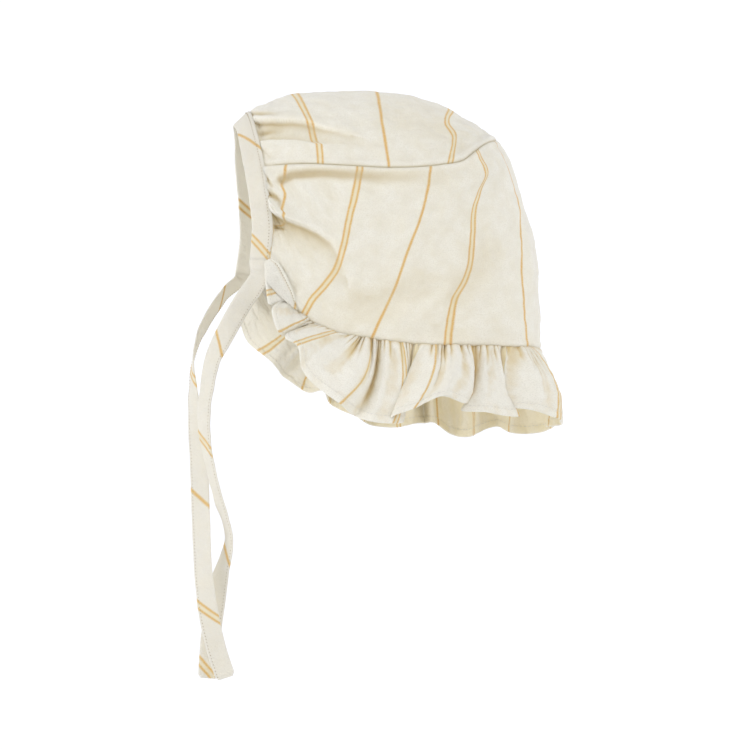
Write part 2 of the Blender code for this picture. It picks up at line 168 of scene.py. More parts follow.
def straight(knots: Array, points: Array, at: Array) -> Array:
    """Points read between rising knots, along straight steps."""
    return np.stack([np.interp(at, knots, points[:, k]) for k in range(3)], axis=-1)


def walked(points: Array, axis: int = 0) -> Array:
    """Length walked along one axis of a grid of points.

    Args:
        points: the grid of points.
        axis: the axis walked along.

    Returns:
        A length for each point, from 0.
    """
    steps = np.linalg.norm(np.diff(points, axis=axis), axis=-1)
    first = np.zeros_like(np.take(steps, [0], axis=axis))
    return np.concatenate([first, np.cumsum(steps, axis=axis)], axis=axis)


def waves(x: Array, y: Array, length: float, seed: int, count: int = 9) -> Array:
    """Uneven soft waves: the mean of cosines that run all ways, near one wave length.

    Args:
        x: first cloth coordinate.
        y: second cloth coordinate.
        length: middle wave length.
        seed: number that sets the directions, phases and wave lengths.
        count: number of cosines.

    Returns:
        Heights of about one either way.
    """
    shortest, longest, peak = 0.7, 1.4, 1.6
    draw = np.random.default_rng(seed)
    height = np.zeros(np.broadcast(x, y).shape)
    turns, phases = draw.uniform(0, math.pi, count), draw.uniform(0, LAP, count)
    for turn, phase, size in zip(turns, phases, draw.uniform(shortest, longest, count)):
        beat = LAP / (length * size)
        height += np.cos(beat * (math.cos(turn) * x + math.sin(turn) * y) + phase)
    return height * math.sqrt(2 / count) / peak


@dataclass(frozen=True)
class Form:
    """The worn form: a squarish ellipsoid spread sideways over its side outline.

    The half breadth at a side view place is the greatest one times the square root of one less
    the fullness power of its reach, which is its share of the way from the centre to the outline.
    """

    length: float = 0.170
    height: float = 0.150
    breadth: float = 0.120
    wall: float = 0.0012
    head_point: float = 0.47
    fullness: float = 2.2
    jaw_sway: float = 0.0045
    crown_start: float = 0.318

    def place(self, along: Array, down: Array) -> Array:
        """Side view place (x, z) of shares of the length and the height."""
        x = (np.asarray(along, float) - self.head_point) * self.length
        return np.stack([x, self.wall - np.asarray(down, float) * self.height], axis=-1)

    def places(self, rows: tuple) -> Array:
        """Side view places of a table of (along, down) rows."""
        return self.place(*np.array(rows, float).T)

    @cached_property
    def centre(self) -> Array:
        """Side view centre of the outline."""
        return self.place(*CENTRE)

    @cached_property
    def rim(self) -> tuple:
        """The outline about the centre, once round and three rows more at each end.

        Returns:
            Turns and radii of the rows.
        """
        spokes = self.places(CROWN_TOP + BACK + UNCUT_REST) - self.centre
        turns = -np.unwrap(np.arctan2(spokes[:, 1], spokes[:, 0]))
        radii = np.linalg.norm(spokes, axis=1)
        return (np.concatenate([turns[-3:] - LAP, turns, turns[:3] + LAP]),
                np.concatenate([radii[-3:], radii, radii[:3]]))

    def turn_of(self, row: int) -> float:
        """Turn of an outline row."""
        return self.rim[0][3 + row]

    def radius(self, turn: Array) -> Array:
        """Radius of the outline at a turn."""
        lap = np.mod(turn - self.turn_of(0), LAP) + self.turn_of(0)
        return smooth(*self.rim, lap)

    def rim_point(self, turn: Array) -> Array:
        """Side view place on the outline at a turn."""
        spoke = np.stack([np.cos(turn), -np.sin(turn)], axis=-1)
        return self.centre + self.radius(turn)[..., None] * spoke

    def reach(self, places: Array) -> Array:
        """Share of the way from the centre to the outline.

        Args:
            places: side view places.

        Returns:
            0 at the centre, 1 on the outline.
        """
        spokes = places - self.centre
        turn = -np.arctan2(spokes[..., 1], spokes[..., 0])
        return np.linalg.norm(spokes, axis=-1) / self.radius(turn)

    def lift(self, places: Array, side: Array) -> Array:
        """Carry side view places out to the form on one side of the middle plane.

        Args:
            places: side view places.
            side: -1 for the left, 1 for the right, 0 on the middle plane.

        Returns:
            Points on the form.
        """
        share = np.clip(1 - self.reach(places) ** self.fullness, 0, None)
        y = side * self.breadth / 2 * np.sqrt(share)
        return np.stack([places[..., 0], y, places[..., 1]], axis=-1)

    def normal(self, points: Array) -> Array:
        """Outward normal of the form, from differences of its reach.

        Args:
            points: points on the form.

        Returns:
            Vectors of length one.
        """
        small = 1e-5
        places = points[..., [0, 2]]
        slope = np.empty(points.shape)
        for axis, shift in ((0, (small, 0)), (2, (0, small))):
            ahead, behind = (self.reach(places + sign * np.array(shift)) ** self.fullness
                             for sign in (1, -1))
            slope[..., axis] = (ahead - behind) / (2 * small)
        slope[..., 1] = 2 * points[..., 1] / (self.breadth / 2) ** 2
        return unit(slope)

    def face_edge(self, down: Array) -> Array:
        """Side view place on the face edge at a share of the height."""
        table = np.array(FACE_EDGE)
        return self.place(smooth(table[:, 1], table[:, 0], down), down)

    def along(self, start: Array, rows: tuple, end: Array, share: Array) -> Array:
        """Place on the smooth curve from start through rows to end.

        Args:
            start: side view place of its first end.
            rows: table of (along, down) rows between the ends.
            end: side view place of its last end.
            share: shares of its length.

        Returns:
            Side view places.
        """
        points = np.concatenate([start[None], self.places(rows), end[None]])
        knots = walked(points)
        return smooth(knots / knots[-1], points, share)

    def crown_seam(self, share: Array) -> Array:
        """Side view place on the crown seam, from the face edge to its back end."""
        start = self.face_edge(np.float64(self.crown_start))
        return self.along(start, CROWN_SEAM, self.rim_point(self.turn_of(len(CROWN_TOP))), share)

    def neck_seam(self, share: Array) -> Array:
        """Side view place on the neck seam, from the jaw corner to the nape."""
        nape = self.rim_point(self.turn_of(len(CROWN_TOP) + len(BACK) - 1))
        return self.along(self.place(*FACE_EDGE[-1]), NECK_SEAM, nape, share)

    def side_grid(self, around: Array, rise: Array) -> Array:
        """The side and back cloth on the form: a Coons patch in side view, mirrored.

        Args:
            around: places from -1, the left face edge, over 0, the back, to 1, the right one.
            rise: shares of the way up from the neck seam to the crown seam.

        Returns:
            Points, a row for each rise and a column for each place around.
        """
        share = np.cos(math.pi / 2 * around)[None, :, None]
        face = self.face_edge(mix(FACE_EDGE[-1][1], self.crown_start, rise))[:, None]
        nape, tongue = (self.turn_of(len(CROWN_TOP) + k) for k in (len(BACK) - 1, 0))
        back = self.rim_point(mix(nape, tongue, rise))[:, None]
        rise = rise[:, None, None]
        low, high = (seam(share[0, :, 0])[None] for seam in (self.neck_seam, self.crown_seam))
        corners = mix(mix(face[0], back[0], share), mix(face[-1], back[-1], share), rise)
        places = mix(low, high, rise) + mix(face, back, share) - corners
        return self.lift(places, np.sign(around)[None])

    def crown_grid(self, back: Array, around: Array) -> Array:
        """The crown tongue on the form, from the face edge back to its round end.

        Args:
            back: shares of the way from the face edge to the tip, rising.
            around: places from -1, the left seam, over the middle to 1, the right seam.

        Returns:
            Points, a row for each share back and a column for each place around.
        """
        share = np.cos(math.pi / 2 * around)[None, :, None]
        seam = self.crown_seam(np.sin(math.pi / 2 * back))[:, None]
        top = self.rim_point(mix(self.turn_of(0), self.turn_of(len(CROWN_TOP)), back))[:, None]
        front = self.face_edge(mix(self.crown_start, FACE_EDGE[0][1], share[0, :, 0]))[None]
        bow = front - mix(seam[:1], top[:1], share)
        places = mix(seam, top, share) + (1 - back)[:, None, None] ** 2 * bow
        return self.lift(places, np.sign(around)[None])

    def sway(self, points: Array) -> Array:
        """Carry the cloth about the right jaw corner towards the face, as it hangs when worn.

        The way is the square of three shares' product: of how far the cloth lies to the right,
        before the head point and below the crown.

        Args:
            points: points on or near the form.

        Returns:
            The points moved.
        """
        beside = np.clip(points[..., 1] / (self.breadth / 2), 0, 1)
        before = np.clip(-points[..., 0] / (self.head_point * self.length), 0, 1)
        below = np.clip((self.wall - points[..., 2]) / (FACE_EDGE[-1][1] * self.height), 0, 1)
        moved = points.copy()
        moved[..., 0] -= self.jaw_sway * (beside * before * below) ** 2
        return moved


# Painted shade in the folds, put into the base colour
DARK_DEPTH = 0.0016        # depth of a groove that is wholly dark
DARK_WIDTH = 0.0020        # width up to which a groove is as dark as its depth says
FAINTEST = 0.08            # least share of that, in a wide groove
DARK_STEP = 0.0026         # depth of a step that is wholly dark
CONTACT = 0.0022           # how far the darkest line under a step's edge reaches


@dataclass(frozen=True)
class Crease:
    """A fold of a panel along a line in side view.

    Its section is a bell for a valley or a ridge. A lip or a tuck is a step, the hyperbolic
    tangent of the distance over the width, that fades by the bell of the distance over its fade.
    """

    kind: Fold
    side: Side
    line: tuple            # rows (along, down), shares as in the outline tables
    width: tuple           # at the start and at the end of the line
    depth: tuple           # at the start and at the end of the line
    fade: tuple = (0.006, 0.012)   # how far a step is felt on its upper and lower side

    def beside(self, form: Form, places: Array) -> tuple:
        """Where side view places lie beside the line.

        Args:
            form: the worn form.
            places: side view places.

        Returns:
            Distances from the line, shares of its length at the nearest point, and 1 above the
            line or -1 below it.
        """
        line = form.places(self.line)
        marks = walked(line) / walked(line)[-1]
        near = np.full(places.shape[:-1], np.inf)
        share, above = np.zeros_like(near), np.zeros_like(near)
        for start, end, mark, step in zip(line, line[1:], marks, np.diff(marks)):
            run = end - start
            t = np.clip((places - start) @ run / (run @ run), 0, 1)
            off = places - start - t[..., None] * run
            away = np.linalg.norm(off, axis=-1)
            closer = away < near
            share = np.where(closer, mark + t * step, share)
            above = np.where(closer, np.sign(run[0] * off[..., 1] - run[1] * off[..., 0]), above)
            near = np.where(closer, away, near)
        return near, share, above

    def bell(self, near: Array, width: Array, depth: Array) -> tuple:
        """A valley or a ridge, with painted shade that is darker the deeper and the narrower it lies.

        Args:
            near: distances from the line.
            width: the bell's widths.
            depth: the bell's heights.

        Returns:
            How far the cloth stands out, and how dark its painted shade is.
        """
        sign = 1 if self.kind is Fold.RIDGE else -1
        height = sign * depth * np.exp(-(near / width) ** 2)
        narrow = np.clip(DARK_WIDTH / width, FAINTEST, 1) ** 1.3
        return height, np.clip(-height / DARK_DEPTH, 0, 1) * narrow

    def step(self, near: Array, above: Array, width: Array, depth: Array) -> tuple:
        """A lip or a tuck, with painted shade on its low side by two exponentials of the distance.

        Args:
            near: distances from the line.
            above: 1 above the line or -1 below it.
            width: how wide the step's edge is.
            depth: the step's heights.

        Returns:
            How far the cloth stands out, and how dark its painted shade is.
        """
        sign = 1 if self.kind is Fold.LIP else -1
        fade = np.where(above > 0, *self.fade)
        height = sign * depth * above * np.tanh(near / width) * np.exp(-(near / fade) ** 2)
        deep = 0.6 * np.exp(-near * 2.2 / fade) + 0.55 * np.exp(-near / CONTACT)
        dark = np.where(height < 0, np.tanh(near / width) * deep, 0)
        return height, dark * np.clip(depth / DARK_STEP, 0, 1.1)

    def read(self, form: Form, points: Array) -> tuple:
        """The fold's height and painted shade on its own side of the form.

        Args:
            form: the worn form.
            points: points on the form.

        Returns:
            How far the cloth stands out, and how dark its painted shade is.
        """
        near, share, above = self.beside(form, points[..., [0, 2]])
        width, depth = mix(*self.width, share ** 2), mix(*self.depth, share)
        if self.kind in (Fold.VALLEY, Fold.RIDGE):
            height, dark = self.bell(near, width, depth)
        else:
            height, dark = self.step(near, above, width, depth)
        here = points[..., 1] * self.side.value >= 0
        return height * here, dark * here


# Folds of the crown tongue
CROWN_CREASES = (
    Crease(Fold.LIP, Side.LEFT, ((0.000, 0.125), (0.025, 0.130), (0.057, 0.137), (0.103, 0.143),
                                 (0.150, 0.146), (0.183, 0.150), (0.203, 0.157), (0.222, 0.165),
                                 (0.249, 0.176), (0.330, 0.200)),
           (0.0003, 0.0012), (0.0030, 0.0009), (0.0060, 0.0060)),
    Crease(Fold.TUCK, Side.LEFT, ((0.000, 0.222), (0.026, 0.214), (0.059, 0.210), (0.101, 0.214),
                                  (0.147, 0.220), (0.186, 0.228), (0.219, 0.233), (0.300, 0.242),
                                  (0.420, 0.248)), (0.0005, 0.0030), (0.0019, 0.0002), (0.0060, 0.0110)),
    Crease(Fold.VALLEY, Side.LEFT, ((0.000, 0.094), (0.036, 0.104), (0.100, 0.116)), (0.0016, 0.0020),
           (0.0024, 0.0002)),
    Crease(Fold.VALLEY, Side.LEFT, ((0.010, 0.177), (0.053, 0.173), (0.110, 0.172)), (0.0018, 0.0026),
           (0.0018, 0.0001)),
    Crease(Fold.VALLEY, Side.LEFT, ((0.035, 0.256), (0.067, 0.290)), (0.0012, 0.0020),
           (0.0007, 0.0002)),
    Crease(Fold.VALLEY, Side.LEFT, ((0.500, 0.110), (0.640, 0.170), (0.700, 0.230)),
           (0.0110, 0.0080), (0.0016, 0.0010)),
    Crease(Fold.LIP, Side.RIGHT, ((0.000, 0.140), (0.120, 0.150), (0.290, 0.190)),
           (0.0008, 0.0040), (0.0014, 0.0002), (0.0060, 0.0060)),
    Crease(Fold.TUCK, Side.RIGHT, ((0.000, 0.232), (0.160, 0.226), (0.360, 0.246)),
           (0.0006, 0.0030), (0.0008, 0.0001), (0.0050, 0.0100)),
    Crease(Fold.VALLEY, Side.RIGHT, ((0.440, 0.130), (0.680, 0.210)), (0.0120, 0.0080),
           (0.0014, 0.0010)),
)

# Folds of the side and back cloth
SIDE_CREASES = (
    Crease(Fold.VALLEY, Side.LEFT, ((0.096, 0.376), (0.131, 0.360), (0.170, 0.355), (0.224, 0.352),
                                    (0.290, 0.357), (0.458, 0.366), (0.640, 0.368)),
           (0.0024, 0.0050), (0.0026, 0.0008)),
    Crease(Fold.LIP, Side.LEFT, ((0.050, 0.491), (0.070, 0.509), (0.093, 0.524), (0.126, 0.541),
                                 (0.169, 0.560), (0.214, 0.584), (0.258, 0.620), (0.290, 0.680),
                                 (0.305, 0.740)), (0.0004, 0.0030), (0.0050, 0.0008), (0.0080, 0.0130)),
    Crease(Fold.VALLEY, Side.LEFT, ((0.030, 0.345), (0.052, 0.380), (0.066, 0.404)),
           (0.0010, 0.0010), (0.0020, 0.0006)),
    Crease(Fold.RIDGE, Side.LEFT, ((0.046, 0.402), (0.074, 0.414)), (0.0014, 0.0018),
           (0.0018, 0.0006)),
    Crease(Fold.VALLEY, Side.LEFT, ((0.048, 0.430), (0.074, 0.444), (0.090, 0.462), (0.094, 0.484)),
           (0.0018, 0.0010), (0.0028, 0.0006)),
    Crease(Fold.RIDGE, Side.LEFT, ((0.052, 0.466), (0.077, 0.486), (0.094, 0.502)), (0.0017, 0.0020),
           (0.0022, 0.0010)),
    Crease(Fold.RIDGE, Side.LEFT, ((0.076, 0.512), (0.112, 0.526)), (0.0014, 0.0014),
           (0.0012, 0.0005)),
    Crease(Fold.VALLEY, Side.LEFT, ((0.050, 0.550), (0.096, 0.562)), (0.0010, 0.0010),
           (0.0022, 0.0008)),
    Crease(Fold.RIDGE, Side.LEFT, ((0.080, 0.575), (0.104, 0.596)), (0.0016, 0.0018),
           (0.0014, 0.0004)),
    Crease(Fold.VALLEY, Side.LEFT, ((0.356, 0.862), (0.460, 0.825), (0.557, 0.780)),
           (0.0090, 0.0090), (0.0020, 0.0014)),
    Crease(Fold.VALLEY, Side.LEFT, ((0.680, 0.815), (0.740, 0.740), (0.800, 0.650)),
           (0.0080, 0.0100), (0.0018, 0.0016)),
    Crease(Fold.VALLEY, Side.RIGHT, ((0.120, 0.366), (0.300, 0.352), (0.620, 0.358)),
           (0.0045, 0.0060), (0.0014, 0.0008)),
    Crease(Fold.LIP, Side.RIGHT, ((0.030, 0.500), (0.180, 0.560), (0.300, 0.660), (0.330, 0.740)),
           (0.0008, 0.0075), (0.0026, 0.0005), (0.0080, 0.0150)),
    Crease(Fold.VALLEY, Side.RIGHT, ((0.040, 0.410), (0.090, 0.450)), (0.0011, 0.0018),
           (0.0014, 0.0004)),
    Crease(Fold.VALLEY, Side.RIGHT, ((0.050, 0.590), (0.130, 0.620)), (0.0012, 0.0022),
           (0.0014, 0.0003)),
    Crease(Fold.VALLEY, Side.RIGHT, ((0.500, 0.820), (0.700, 0.720)), (0.0100, 0.0100),
           (0.0018, 0.0014)),
)

# Stripes of the near side, each (number, rows (down, along)): even numbers are double stripes
SIDE_STRIPES = (
    (1, ((0.319, 0.112), (0.358, 0.105), (0.389, 0.094), (0.436, 0.107), (0.500, 0.101),
         (0.512, 0.108), (0.548, 0.094), (0.552, 0.020), (0.600, -0.040), (1.010, -0.150))),
    (2, ((0.341, 0.358), (0.439, 0.339), (0.517, 0.322), (0.651, 0.298), (0.727, 0.275),
         (0.783, 0.239), (0.839, 0.196), (0.884, 0.174), (1.010, 0.120))),
    (3, ((0.325, 0.599), (0.436, 0.582), (0.534, 0.557), (0.650, 0.516), (0.764, 0.483),
         (0.878, 0.440), (0.990, 0.395), (1.010, 0.389))),
    (4, ((0.255, 0.767), (0.338, 0.795), (0.408, 0.768), (0.508, 0.744), (0.682, 0.735),
         (0.759, 0.714), (0.837, 0.676), (0.912, 0.661), (1.010, 0.652))),
    (5, ((0.255, 0.915), (0.402, 0.926), (0.628, 0.923), (0.783, 0.925), (0.898, 0.933),
         (1.010, 0.944))),
)
CROWN_STRIPES = (
    (2, ((-0.010, 0.140), (0.020, 0.157), (0.094, 0.179), (0.151, 0.196), (0.226, 0.208),
         (0.240, 0.223), (0.330, 0.226))),
    (3, ((-0.010, 0.436), (0.137, 0.440), (0.240, 0.448), (0.330, 0.456))),
    (4, ((-0.010, 0.706), (0.060, 0.696), (0.135, 0.666), (0.189, 0.692), (0.307, 0.667),
         (0.330, 0.665))),
)


LAST_BACK = 0.975          # farthest back that a stripe's line goes, as a share of its row's way
LINE_BLEND = 0.02          # how softly the line keeps before that place
LEAST_CLOTH = 0.004        # least cloth from one stripe to the next


def crossing(length: Array, gap: Array) -> Array:
    """Length walked where each row first crosses a line, between two grid points.

    Args:
        length: length walked along each row.
        gap: how far each point lies beyond the line, below zero before it.

    Returns:
        A length for each row, 0 where it starts beyond the line.
    """
    row = np.arange(len(gap))
    crossed = np.argmax(gap > 0, axis=1)
    before = np.clip(crossed - 1, 0, None)
    low, high = gap[row, before], gap[row, crossed]
    t = np.where(crossed > 0, -low / np.where(high == low, 1, high - low), 0)
    return mix(length[row, before], length[row, crossed], t)


def cloth_across(form: Form, grid: Array, stripes: tuple) -> Array:
    """Cloth coordinate across the stripes, so that each stripe runs through its rows.

    Along each grid row the length walked is read where the row meets each stripe on the left
    side. Between two stripes the coordinate runs from one number's place to the next one's, and
    beyond them it keeps the cloth's true scale. A stripe's line keeps before the place where its
    row is farthest back by a soft minimum: half of their sum less the root of the squares of
    their difference and of the blend.

    Args:
        form: the worn form.
        grid: points, the walk along the rows.
        stripes: rows (number, rows (down, along)).

    Returns:
        Metres of cloth for each point.
    """
    length = walked(grid, axis=1)
    along = grid[..., 0] / form.length + form.head_point
    down = (form.wall - grid[..., 2]) / form.height
    ahead = np.arange(grid.shape[1])[None] <= np.argmax(along, axis=1)[:, None]
    last = LAST_BACK * along.max(axis=1, keepdims=True)
    knots = []
    for _, rows in stripes:
        downs, alongs = np.array(rows).T
        line = smooth(downs, alongs, np.clip(down, downs[0], downs[-1]), True)
        line = (line + last - np.sqrt((line - last) ** 2 + LINE_BLEND ** 2)) / 2
        knots.append(crossing(length, np.where(ahead, along - line, 1)))
    knots = np.stack(knots, axis=1)
    numbers = np.array([number for number, _ in stripes], float)
    cloth = np.minimum(numbers[0] + (length - knots[:, :1]) / PITCH, numbers[0])
    for k in range(len(numbers) - 1):
        low, high = knots[:, k:k + 1], knots[:, k + 1:k + 2]
        cloth += np.clip((length - low) / np.maximum(high - low, LEAST_CLOTH), 0, 1)
    cloth += np.clip(length - knots[:, -1:], 0, None) / PITCH
    return cloth * PITCH


def quads(index: Array) -> Array:
    """Four-cornered faces of a grid of vertex numbers."""
    corners = (index[:-1, :-1], index[:-1, 1:], index[1:, 1:], index[1:, :-1])
    return np.stack(corners, axis=-1).reshape(-1, 4)


def make_mesh(name: str, points: Array, faces: list, cloth: Array, fold: Array | float = 0.0) -> Piece:
    """Put arrays into a mesh object at the origin.

    Args:
        name: the piece's name.
        points: vertices, shape (n, 3).
        faces: arrays of vertex numbers, each of shape (faces, corners).
        cloth: cloth coordinates of the vertices in metres, shape (n, 2).
        fold: painted shade of each vertex, from 0 to 1, and painted light below zero.

    Returns:
        The new object, in the scene.
    """
    mesh = bpy.data.meshes.new(name)
    corners = np.concatenate([np.ravel(f) for f in faces]).astype(np.int32)
    sizes = np.concatenate([np.full(len(f), f.shape[1]) for f in faces])
    starts = np.concatenate([[0], np.cumsum(sizes)[:-1]]).astype(np.int32)
    mesh.vertices.add(len(points))
    mesh.vertices.foreach_set("co", points.astype(np.float32).ravel())
    mesh.loops.add(len(corners))
    mesh.loops.foreach_set("vertex_index", corners)
    mesh.polygons.add(len(sizes))
    mesh.polygons.foreach_set("loop_start", starts)
    mesh.update(calc_edges=True)
    layer = mesh.uv_layers.new(name="cloth")
    layer.data.foreach_set("uv", cloth[corners].astype(np.float32).ravel())
    # The fold attribute carries painted shade and painted light into the base colour
    depth = mesh.attributes.new("fold", "FLOAT", "POINT")
    depth.data.foreach_set("value", np.broadcast_to(fold, len(points)).astype(np.float32))
    mesh.validate()
    mesh.shade_smooth()
    mesh.set_sharp_from_angle(angle=math.radians(65))
    item = bpy.data.objects.new(name, mesh)
    bpy.context.scene.collection.objects.link(item)
    return item


ROUND_RIM = 0.45           # how far a wall's rim bows outward, as a share of the wall


def make_wall(name: str, outer: Array, inner: Array, cloth: Array, fold: Array, skip: int = 1,
              inside: Array | float = 0.0) -> Piece:
    """Close two skins into one wall with a round rim.

    The inner skin keeps every skip-th row and column. The rim has one ring of vertices between
    the skins, bowed outward, and faces with more corners join it to the coarser inner skin.

    Args:
        name: the piece's name.
        outer: grid of points of the outer skin.
        inner: matching grid of points of the inner skin.
        cloth: grid of cloth coordinates.
        fold: grid of the painted shade in folds, from 0 to 1.
        skip: steps of the outer skin for each step of the inner one.
        inside: painted shade on the inner skin away from folds, below zero painted light for light that
            glows through.

    Returns:
        The new object.
    """
    rows, columns = outer.shape[:2]
    fine, coarse = (np.arange(rows * columns).reshape(rows, columns)[::k, ::k] for k in (1, skip))
    loop, kept = rim_of(fine), coarse.ravel()
    row, column = np.clip(loop // columns, 1, rows - 2), np.clip(loop % columns, 1, columns - 2)
    skins = [skin.reshape(-1, 3) for skin in (outer, inner)]
    middle, behind = (sum(skin[k] for skin in skins) / 2 for k in (loop, row * columns + column))
    wall = np.linalg.norm(skins[0][loop] - skins[1][loop], axis=1, keepdims=True)
    away = middle - behind
    away /= np.maximum(np.linalg.norm(away, axis=1, keepdims=True), 1e-6)
    points = np.concatenate([skins[0], middle + away * wall * ROUND_RIM, skins[1][kept]])
    edge = rows * columns + np.arange(len(loop))
    small = rows * columns + len(loop) + np.arange(coarse.size).reshape(coarse.shape)
    under, turn = rim_of(small), np.roll(edge, -1)
    groups = np.concatenate([edge.reshape(-1, skip), turn.reshape(-1, skip)[:, -1:]], axis=1)
    faces = [quads(fine), np.stack([loop, edge, turn, np.roll(loop, -1)], axis=1),
             quads(small)[:, ::-1],
             np.concatenate([np.roll(under, -1)[:, None], under[:, None], groups], axis=1)]
    a, b, c = (skins[0][faces[0][:, k]] for k in (0, 1, 2))
    if np.sum(np.cross(b - a, c - a) * (a - skins[1][faces[0][:, 0]])) < 0:
        faces = [f[:, ::-1] for f in faces]
    flat = cloth.reshape(-1, 2)
    depth, inside = (np.broadcast_to(a, (rows, columns)).ravel() for a in (fold, inside))
    # The inner skin takes half of the painted shade, plus the painted light of inside
    return make_mesh(name, points, faces, np.concatenate([flat, flat[loop], flat[kept]]),
                     np.concatenate([depth, depth[loop], depth[kept] * 0.5 + inside[kept]]))


def rim_of(index: Array) -> Array:
    """Vertex numbers round the rim of a grid, once round."""
    return np.concatenate([index[0, :-1], index[:-1, -1], index[-1, :0:-1], index[:0:-1, 0]])


def eroded(height: Array, reach: int) -> Array:
    """Lowest height about each grid point, along rows and then columns.

    Args:
        height: grid of heights.
        reach: steps looked at either way.

    Returns:
        Grid of the lowest heights.
    """
    for axis in (0, 1):
        pad = [(reach, reach) if axis == k else (0, 0) for k in (0, 1)]
        wide = np.pad(height, pad, mode="edge")
        count = height.shape[axis]
        height = np.minimum.reduce([np.take(wide, range(k, k + count), axis=axis)
                                    for k in range(2 * reach + 1)])
    return height


def make_tube(name: str, rings: Array, cloth: Array, fold: Array | float = 0.0) -> Piece:
    """Close a profile carried along a path, with a flat cap at each end.

    Args:
        name: the piece's name.
        rings: points, a row for each station and a column for each profile point.
        cloth: cloth coordinates of the same points.
        fold: painted shade of the points round the profile, below zero painted light, as in make_wall.

    Returns:
        The new object.
    """
    count, around = rings.shape[:2]
    index = np.arange(count * around).reshape(count, around)
    faces = [quads(np.concatenate([index, index[:, :1]], axis=1)), index[:1, ::-1], index[-1:]]
    middle = rings.mean(axis=1, keepdims=True)
    a, b, c = rings[:-1, :-1], rings[:-1, 1:], rings[1:, 1:]
    if np.sum(np.cross(b - a, c - a) * (a - middle[:-1])) < 0:
        faces = [f[:, ::-1] for f in faces]
    fold = np.broadcast_to(fold, (count, around)).ravel()
    return make_mesh(name, rings.reshape(-1, 3), faces, cloth.reshape(-1, 2), fold)


class Value:
    """A number socket in a shader expression: each operator adds one Math node."""

    def __init__(self, kit: "NodeKit", socket: Socket) -> None:
        self.kit = kit
        self.socket = socket

    def math(self, operation: str, *others: object, first: bool = True) -> "Value":
        """A Math node of this value and others, this one first unless told otherwise."""
        terms = (self, *others) if first else (*others, self)
        return self.kit.math(operation, *terms)

    def __add__(self, other: object) -> "Value":
        """Sum."""
        return self.math("ADD", other)

    __radd__ = __add__

    def __sub__(self, other: object) -> "Value":
        """Difference."""
        return self.math("SUBTRACT", other)

    def __rsub__(self, other: object) -> "Value":
        """Difference from a number on the left."""
        return self.math("SUBTRACT", other, first=False)

    def __mul__(self, other: object) -> "Value":
        """Product."""
        return self.math("MULTIPLY", other)

    __rmul__ = __mul__

    def __truediv__(self, other: object) -> "Value":
        """Quotient."""
        return self.math("DIVIDE", other)

    def __abs__(self) -> "Value":
        """Size without sign."""
        return self.math("ABSOLUTE")

    def sine(self) -> "Value":
        """Sine, of radians."""
        return self.math("SINE")

    def nearest(self) -> "Value":
        """Nearest whole number."""
        return self.math("ROUND")

    def clipped(self) -> "Value":
        """The value held between 0 and 1."""
        return self.math("MAXIMUM", 0.0).math("MINIMUM", 1.0)

    def band(self, half: float, soft: float) -> "Value":
        """One within half of zero, none beyond, with a soft edge."""
        return ((half - abs(self)) / soft + 0.5).clipped()


class NodeKit:
    """Makes the nodes of one material or world."""

    def __init__(self, owner: bpy.types.ID) -> None:
        """Start with the owner's own node tree.

        Args:
            owner: the material or world.
        """
        owner.use_nodes = True
        self.owner = owner
        self.tree = owner.node_tree

    def node(self, kind: str, settings: dict | None = None, sockets: dict | None = None
             ) -> bpy.types.Node:
        """Add one node.

        Args:
            kind: the node's type.
            settings: properties to set first.
            sockets: values or links of its inputs, by name or number.

        Returns:
            The node.
        """
        made = self.tree.nodes.new(kind)
        for key, value in (settings or {}).items():
            setattr(made, key, value)
        for key, value in (sockets or {}).items():
            self.feed(made.inputs[key], value)
        return made

    def feed(self, socket: Socket, value: object) -> None:
        """Link a value or a socket to an input, or set the input's own number.

        Args:
            socket: the input.
            value: what it gets.
        """
        if isinstance(value, Value):
            value = value.socket
        if isinstance(value, Socket):
            self.tree.links.new(value, socket)
        else:
            socket.default_value = value

    def math(self, operation: str, *terms: object) -> Value:
        """A Math node of the terms."""
        made = self.node("ShaderNodeMath", {"operation": operation}, dict(enumerate(terms)))
        return Value(self, made.outputs[0])

    def blend(self, share: Value, low: object, high: object) -> Socket:
        """A colour between two colours."""
        made = self.node("ShaderNodeMix", {"data_type": "RGBA"}, {0: share, 6: low, 7: high})
        return made.outputs[2]

    def cloth(self) -> tuple:
        """The two cloth coordinates in metres.

        Returns:
            The coordinate across the stripes and the one along them.
        """
        uv = self.node("ShaderNodeUVMap", {"uv_map": "cloth"}).outputs[0]
        parts = self.node("ShaderNodeSeparateXYZ", None, {0: uv})
        return Value(self, parts.outputs[0]), Value(self, parts.outputs[1])

    def noise(self, x: Value, y: Value, cells: tuple, layer: float = 0.0, detail: float = 2.0
              ) -> Value:
        """Noise of about 0.5 over the cloth.

        Args:
            x: first cloth coordinate.
            y: second cloth coordinate.
            cells: its cells in a metre along each of them.
            layer: height of the slice through the noise, so that no two are alike.
            detail: how many finer noises are added to it.

        Returns:
            The noise.
        """
        at = self.node("ShaderNodeCombineXYZ", None, {0: x * cells[0], 1: y * cells[1], 2: layer})
        made = self.node("ShaderNodeTexNoise", None,
                         {"Vector": at.outputs[0], "Scale": 1.0, "Detail": detail})
        return Value(self, made.outputs["Fac"])

    def finish(self, fixed: dict, varied: dict) -> Finish:
        """Set the shader's own numbers and link what varies.

        Args:
            fixed: numbers of the shader's inputs, by name.
            varied: values or sockets of inputs that change over the surface, by name.

        Returns:
            The material.
        """
        shader = self.tree.nodes["Principled BSDF"]
        for key, value in (fixed | varied).items():
            self.feed(shader.inputs[key], value)
        return self.owner


